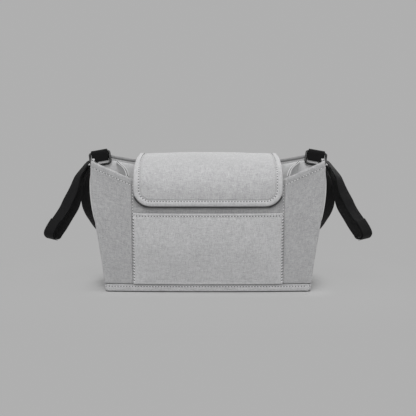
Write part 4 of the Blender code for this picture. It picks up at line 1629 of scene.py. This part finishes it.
class ORGANIZER_OT_corners(bpy.types.Operator):
    """Sew the webbing tabs and hang the plastic rings in them"""
    bl_idname = "organizer.corners"
    bl_label = "Tabs and rings"

    def execute(self, context):
        for label, side in SIDES:
            self.tab(label, side)
            self.ring(label, side)
        return {"FINISHED"}

    def tab(self, label, side):
        """The outer leg is sewn to the back wall and the inner one ends just under the rim."""
        centre, axis, up = corner_frame(side)
        outer, inner = tab_faces()
        middle = (outer + inner) / 2
        radius = (outer - inner) / 2
        route = [(outer, -TAB_LEG), (outer, -TAB_LEG * 0.66), (outer, -TAB_LEG * 0.33), (outer, 0.0),
                 (outer, TAB_RISE * 0.6)]
        for step in range(17):
            angle = math.pi * step / 16
            route.append((middle + radius * math.cos(angle), TAB_RISE + radius * math.sin(angle)))
        route += [(inner, TAB_RISE * 0.6), (inner, 0.0), (inner, -TAB_INNER_LEG)]
        line = Line([(y, rise, 0.0) for y, rise in route])
        runs = steps(line.length, 0.0012, RIBBON_END)
        across = steps(TAB_WIDTH, 0.0026, RIBBON_EDGE)
        points = []
        for run in runs:
            y, rise, _ = line.at(run / line.length)
            y_before, rise_before, _ = line.at(run / line.length - 0.01)
            y_after, rise_after, _ = line.at(run / line.length + 0.01)
            way = Vector((y_after - y_before, rise_after - rise_before)).normalized()
            out = Vector((0, way.y, 0)) - up * way.x
            points.append([centre + Vector((0, y, 0)) + up * rise + axis * (step - TAB_WIDTH / 2)
                           + out * (WEBBING / 2) for step in across])

        def border(i, j):
            return min(across[j], TAB_WIDTH - across[j], runs[i], line.length - runs[i])

        tab = padded_sheet(f"webbing_tab_{label}", points, border, WEBBING,
                           lambda at: Vector((0, at.y - middle, 0.5)), look("Ribbed webbing"),
                           round_to=0.0006)
        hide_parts(f"ring_tab_{label}")

    def ring(self, label, side):
        centre, axis, up = corner_frame(side)
        outer, inner = tab_faces()
        origin = centre + up * RING_RISE
        origin.y = (outer + inner) / 2 - 0.0004
        hang = -up * math.cos(RING_HANG) + Vector((0, -math.sin(RING_HANG), 0))
        flat = axis.cross(hang).normalized()
        half = TAB_WIDTH / 2 + RING_PLAY + RING_BAR
        corners = ((half, 0.0, -90), (half, RING_REACH, 0), (-half, RING_REACH, 90), (-half, 0.0, 180))
        points = []
        for across, down, start in corners:
            turn = RING_BEND if down == 0.0 else RING_CORNER
            cx = across - math.copysign(turn, across)
            cy = turn if down == 0.0 else down - turn
            for step in range(9):
                angle = math.radians(start + 90 * step / 8)
                points.append(origin + axis * (cx + turn * math.cos(angle))
                              + hang * (cy + turn * math.sin(angle)))
        frames = []
        count = len(points)
        for index, point in enumerate(points):
            run = (points[(index + 1) % count] - points[index - 1]).normalized()
            frames.append((point, run.cross(flat).normalized(), flat))
        ring = swept(f"plastic_ring_{label}", frames, round_section(RING_BAR * RING_FULLNESS, 14),
                     look("Ring plastic"), f"ring_{label}", closed=True, levels=1)
        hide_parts(f"ring_{label}")


# Straps

# Each row: stand-off from the gusset, place along the side and height from the side rim, in
# millimetres, and the turn of the width in degrees
STRAP_UNIT = 0.001
STRAP_ROWS = (
    (1.5, 0.0, -152, 88.5), (1.5, 0.0, -140, 88.3), (1.6, 0.0, -128, 88),
    (3.8, 0.0, -118, 85), (9.5, -1.0, -108, 78), (12.7, -1.5, -101, 72),
    (16.0, -2.5, -91, 65), (18.5, -3.5, -82, 58), (20.0, -5.0, -71, 53),
    (19.9, -5.5, -58, 53), (18.3, -5.5, -43, 56), (14.0, -4.0, -28, 66),
    (8.0, -1.5, -15, 78), (2.2, 0.0, -6, 84), (4.2, 0.0, -1.0, 84),
    (9.7, -2.5, -3.5, 78), (17.4, -7.0, -12, 72), (26.4, -12.0, -23, 66),
    (29.8, -14.0, -30, 61), (32.8, -15.0, -37, 57), (37.5, -17.0, -46, 52),
    (45.2, -21.5, -58, 50), (53.8, -26.0, -72, 50), (69.7, -35.0, -92, 50),
    (77.3, -40.0, -103.5, 50), (78.8, -41.0, -109, 50), (76.4, -38.5, -113.8, 50),
    (71.5, -34.5, -113.6, 50), (68.0, -32.0, -109, 50), (59.9, -28.0, -99, 50),
    (49.8, -22.0, -85, 50), (41.0, -17.0, -73, 50), (36.5, -14.0, -65, 51),
    (31.7, -11.5, -54, 53), (26.9, -9.0, -42, 57), (24.6, -8.0, -32, 62),
    (20.2, -6.8, -24, 64), (14.6, -5.0, -16.5, 67), (9.8, -3.2, -10.3, 71), (6.0, -1.8, -6.4, 76),
)


def strap_line(side):
    """The strap's route, kept outside the swelling gusset."""
    rim = RIM_HEIGHT - SIDE_DIP
    route = []
    for off, run, drop, turn in STRAP_ROWS:
        y = STRAP_Y + run * STRAP_UNIT
        z = rim + drop * STRAP_UNIT
        free = side_x(y, z) - side_swell(z) + off * STRAP_UNIT
        laid = side_x(y, z) + STRAP_ROWS[0][0] * STRAP_UNIT
        route.append((side * max(free, laid), y, z, math.radians(turn)))
    return Line(catmull(route, 8 * (len(route) - 1)))


def ribbon_spot(line, share, across, lift, side):
    """A point of a ribbon, at a share of its route, across its width, lifted off its face."""
    x, y, z, turn = line.at(share)
    run = (Vector(line.at(share + 0.004)[:3]) - Vector(line.at(share - 0.004)[:3])).normalized()
    wide = Vector((-side * math.cos(turn), -math.sin(turn), 0))
    wide = (wide - run * wide.dot(run)).normalized()
    face = wide.cross(run) * side
    return Vector((x, y, z)) + wide * across + face * lift


class ORGANIZER_OT_straps(bpy.types.Operator):
    """Make the ribbed straps with their folded tails and smooth tips"""
    bl_idname = "organizer.straps"
    bl_label = "Straps"

    def execute(self, context):
        for label, side in SIDES:
            line = strap_line(side)
            self.ribbon(label, side, line)
            self.tip(label, side, line)
        return {"FINISHED"}

    def ribbon(self, label, side, line):
        runs = steps(line.length, 0.0016, RIBBON_END)
        across = steps(WEBBING_WIDTH, 0.0022, RIBBON_EDGE)
        points = [[ribbon_spot(line, run / line.length, step - WEBBING_WIDTH / 2, WEBBING / 2, side)
                   for step in across] for run in runs]

        def border(i, j):
            return min(across[j], WEBBING_WIDTH - across[j], runs[i], line.length - runs[i])

        def lift(i, j):
            return -0.00025 * bump(min(across[j], WEBBING_WIDTH - across[j]) - 0.0022, 0.0007)

        strap = padded_sheet(f"webbing_strap_{label}", points, border, WEBBING,
                             lambda at: Vector((side, -1, 0)), look("Ribbed webbing"),
                             lift=lift, round_to=0.0006)
        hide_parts(f"strap_{label}")

    def tip(self, label, side, line):
        lift = WEBBING + GAP + PATCH_THICK
        spots = [line.at(step / 400) for step in range(200, 401)]
        lowest = min(range(len(spots)), key=lambda index: spots[index][2])
        fold = (200 + lowest) / 400 * line.length
        runs = steps(TIP_LENGTH, 0.0018, RIBBON_END)
        across = steps(WEBBING_WIDTH, 0.0030, RIBBON_EDGE)
        points = [[ribbon_spot(line, (fold - TIP_LENGTH + run) / line.length, step - WEBBING_WIDTH / 2,
                               lift - WEBBING / 2, side) for step in across] for run in runs]

        def border(i, j):
            return min(across[j], WEBBING_WIDTH - across[j], runs[i], TIP_LENGTH - runs[i])

        tip = padded_sheet(f"strap_tip_{label}", points, border, PATCH_THICK,
                           lambda at: Vector((side, -1, -0.5)), look("Smooth patch"))
        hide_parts(f"strap_tip_patch_{label}")


# Stitching

class ORGANIZER_OT_stitching(bpy.types.Operator):
    """Lay the stitches of the wall hems and seams, the pocket, the flap's border and the base"""
    bl_idname = "organizer.stitching"
    bl_label = "Stitching"

    def execute(self, context):
        sewing = context.scene.organizer_sewing
        self.walls(sewing)
        self.pocket()
        self.flap()
        self.base()
        return {"FINISHED"}

    def walls(self, sewing):
        ahead = Vector((0, -1, 0))
        back = Vector((0, 1, 0))
        runs, rear = [], []
        for side in (-1, 1):
            hem, rear_hem = [], []
            for step in range(41):
                x = mix(SEAM_HALF - 0.003, RIM_WIDTH / 2 - 0.004, step / 40)
                z = front_top(x) - sewing.hem
                x = min(x, front_half(z) - 0.003)
                hem.append((Vector((side * x, front_y(x, z), z)), ahead))
                x = mix(0.0, BACK_RIM_WIDTH / 2 - 0.005, step / 40)
                z = back_top(x) - sewing.hem
                x = min(x, back_half(z) - 0.004)
                rear_hem.append((Vector((side * x, half_depth(z), z)), back))
            runs.append(hem)
            rear.append(rear_hem)
            x = side * FRONT_SEAM
            seam = []
            for step in range(21):
                z = mix(WALL_FOOT + 0.002, RIM_HEIGHT - FRONT_DIP - 0.012, step / 20)
                seam.append((Vector((x, front_y(x, z), z)), ahead))
            runs.append(seam)
        sewn_line("front", runs, skin=Skin("front_wall"), thread=0.9, shade_dots=0.5)
        sewn_line("back", rear, skin=Skin("back_wall"))
        for label, side in SIDES:
            run = []
            for step in range(49):
                y = mix(-GUSSET_REACH, GUSSET_REACH - 0.004, step / 48)
                z = side_top(y) - sewing.hem
                run.append((Vector((side * side_x(y, z), y, z)), Vector((side, 0, 0))))
            sewn_line(f"gusset_{label}", [run], skin=Skin(f"gusset_{label}"))

    def pocket(self):
        ahead = Vector((0, -1, 0))
        reach = SEAM_HALF - 0.002
        hem = POCKET_TOP - POCKET_HEM
        widths = [mix(-reach, reach, step / 40) for step in range(41)]
        runs = [[(Vector((x, -0.075, hem)), ahead) for x in widths]]
        heights = [mix(POCKET_LOW + 0.002, POCKET_TOP - 0.006, step / 20) for step in range(21)]
        for side in (-1, 1):
            x = side * (SEAM_HALF - POCKET_SEAM)
            runs.append([(Vector((x, -0.068, z)), ahead) for z in heights])
        sewn_line("pocket", runs, skin=Skin("pocket_cloth"))

    def flap(self):
        run = []
        for x, distance, inward, down in flap_outline():
            share = (distance + down * BORDER_SEAM) / FLAP.length
            spot = flap_spot(x + inward * BORDER_SEAM, share)
            deeper = flap_spot(x + inward * BORDER_SEAM, share, 0.002)
            run.append((spot, (spot - deeper).normalized()))
        sewn_line("flap", [run[1:-1]], Skin("flap_border"))

    def base(self):
        ring = plan_ring(0.0, BASE_CORNER, lambda x, y: BAND_SEAM)
        ring.append(ring[0])
        run = []
        for index, point in enumerate(ring):
            after = ring[(index + 1) % (len(ring) - 1)]
            before = ring[index - 1] if index else ring[-2]
            way = (after - before).normalized()
            run.append((point, Vector((way.y, -way.x, 0)).normalized()))
        sewn_line("base", [run], thread=1.1, shade_dots=0.75)


# Stage

# Half of the ground's width, where the backdrop begins to rise, and the radius of that bend
GROUND_HALF = 4.0
BEND_AT = 1.2
BEND_RADIUS = 1.0

# Name, place, size and watts of each lamp, and the strength of the light all round
LAMPS = (
    ("key", (-0.25, -1.75, 2.0), 1.4, 34.0),
    ("left", (-1.25, -0.35, 1.55), 0.9, 8.0),
    ("right", (1.25, -0.35, 1.55), 0.9, 8.0),
    ("rear_fill", (0.3, 1.15, 0.8), 1.2, 9.0),
    ("front_fill", (0.2, -2.3, 1.15), 1.2, 19.5),
)
ROOM_LIGHT = 0.43


class ORGANIZER_OT_stage(bpy.types.Operator):
    """Set up the floor, the backdrop, the soft light and the camera"""
    bl_idname = "organizer.stage"
    bl_label = "Stage"

    def execute(self, context):
        stage = context.scene.organizer_stage
        scene = context.scene
        scene.view_settings.view_transform = "Standard"
        self.ground(stage)
        self.camera(stage, scene)
        self.lights(scene)
        return {"FINISHED"}

    def ground(self, stage):
        mesh = bpy.data.meshes.new("ground")
        shape = bmesh.new()
        profile = [(-GROUND_HALF, 0.0), (BEND_AT, 0.0)]
        for step in range(1, 17):
            angle = math.pi / 2 * step / 16
            profile.append((BEND_AT + BEND_RADIUS * math.sin(angle),
                            BEND_RADIUS - BEND_RADIUS * math.cos(angle)))
        profile.append((BEND_AT + BEND_RADIUS, GROUND_HALF))
        lines = [[shape.verts.new((x, y, z)) for x in (-GROUND_HALF, GROUND_HALF)] for y, z in profile]
        for low, high in zip(lines, lines[1:]):
            shape.faces.new((low[0], low[1], high[1], high[0]))
        shape.to_mesh(mesh)
        shape.free()
        mesh.shade_smooth()
        mesh.materials.append(ground_look("Ground", stage.ground, stage.tone))
        floor = bpy.data.objects.new("ground", mesh)
        bpy.context.scene.collection.objects.link(floor)

    def camera(self, stage, scene):
        camera = bpy.data.objects.new("camera", bpy.data.cameras.new("camera"))
        camera.location = (0.0, -stage.camera_distance, stage.camera_height)
        camera.rotation_euler = (math.pi / 2 - stage.camera_pitch, 0.0, 0.0)
        camera.data.sensor_width = 36.0
        camera.data.lens = stage.camera_lens
        scene.collection.objects.link(camera)
        scene.camera = camera

    def lights(self, scene):
        world = bpy.data.worlds.new("room")
        world.use_nodes = True
        background = world.node_tree.nodes["Background"]
        background.inputs["Color"].default_value = (1.0, 1.0, 1.0, 1.0)
        background.inputs["Strength"].default_value = ROOM_LIGHT
        scene.world = world
        for name, place, size, power in LAMPS:
            light = bpy.data.lights.new(name, "AREA")
            light.shape = "SQUARE"
            light.size = size
            light.energy = power
            lamp = bpy.data.objects.new(name, light)
            lamp.location = place
            aim = Vector((0.0, 0.0, 0.1)) - Vector(place)
            lamp.rotation_euler = aim.to_track_quat("-Z", "Y").to_euler()
            scene.collection.objects.link(lamp)


# Add-on

class ORGANIZER_PT_panel(bpy.types.Panel):
    bl_idname = "ORGANIZER_PT_panel"
    bl_label = "Stroller organizer"
    bl_space_type = "VIEW_3D"
    bl_region_type = "UI"
    bl_category = "Organizer"

    def draw(self, context):
        layout = self.layout
        for settings in (context.scene.organizer_cloth, context.scene.organizer_sewing,
                         context.scene.organizer_padding, context.scene.organizer_stage):
            box = layout.box()
            for name in settings.__annotations__:
                box.prop(settings, name)
        for operator in OPERATORS:
            layout.operator(operator.bl_idname)


SETTINGS = (
    ("organizer_cloth", ClothSettings),
    ("organizer_sewing", SewingSettings),
    ("organizer_padding", PaddingSettings),
    ("organizer_stage", StageSettings),
)

OPERATORS = (
    ORGANIZER_OT_finishes,
    ORGANIZER_OT_stage,
    ORGANIZER_OT_base,
    ORGANIZER_OT_lining,
    ORGANIZER_OT_walls,
    ORGANIZER_OT_pocket,
    ORGANIZER_OT_flap,
    ORGANIZER_OT_closure,
    ORGANIZER_OT_rims,
    ORGANIZER_OT_corners,
    ORGANIZER_OT_straps,
    ORGANIZER_OT_stitching,
)


def register():
    for _, settings in SETTINGS:
        bpy.utils.register_class(settings)
    for operator in OPERATORS:
        bpy.utils.register_class(operator)
    bpy.utils.register_class(ORGANIZER_PT_panel)
    for name, settings in SETTINGS:
        setattr(bpy.types.Scene, name, PointerProperty(type=settings))


def unregister():
    for name, _ in SETTINGS:
        delattr(bpy.types.Scene, name)
    bpy.utils.unregister_class(ORGANIZER_PT_panel)
    for operator in reversed(OPERATORS):
        bpy.utils.unregister_class(operator)
    for _, settings in reversed(SETTINGS):
        bpy.utils.unregister_class(settings)


def main():
    register()
    bpy.ops.organizer.finishes()
    bpy.ops.organizer.stage()
    bpy.ops.organizer.base()
    bpy.ops.organizer.lining()
    bpy.ops.organizer.walls()
    bpy.ops.organizer.pocket()
    bpy.ops.organizer.flap()
    bpy.ops.organizer.closure()
    bpy.ops.organizer.rims()
    bpy.ops.organizer.corners()
    bpy.ops.organizer.straps()
    bpy.ops.organizer.stitching()


if __name__ == "__main__":
    main()
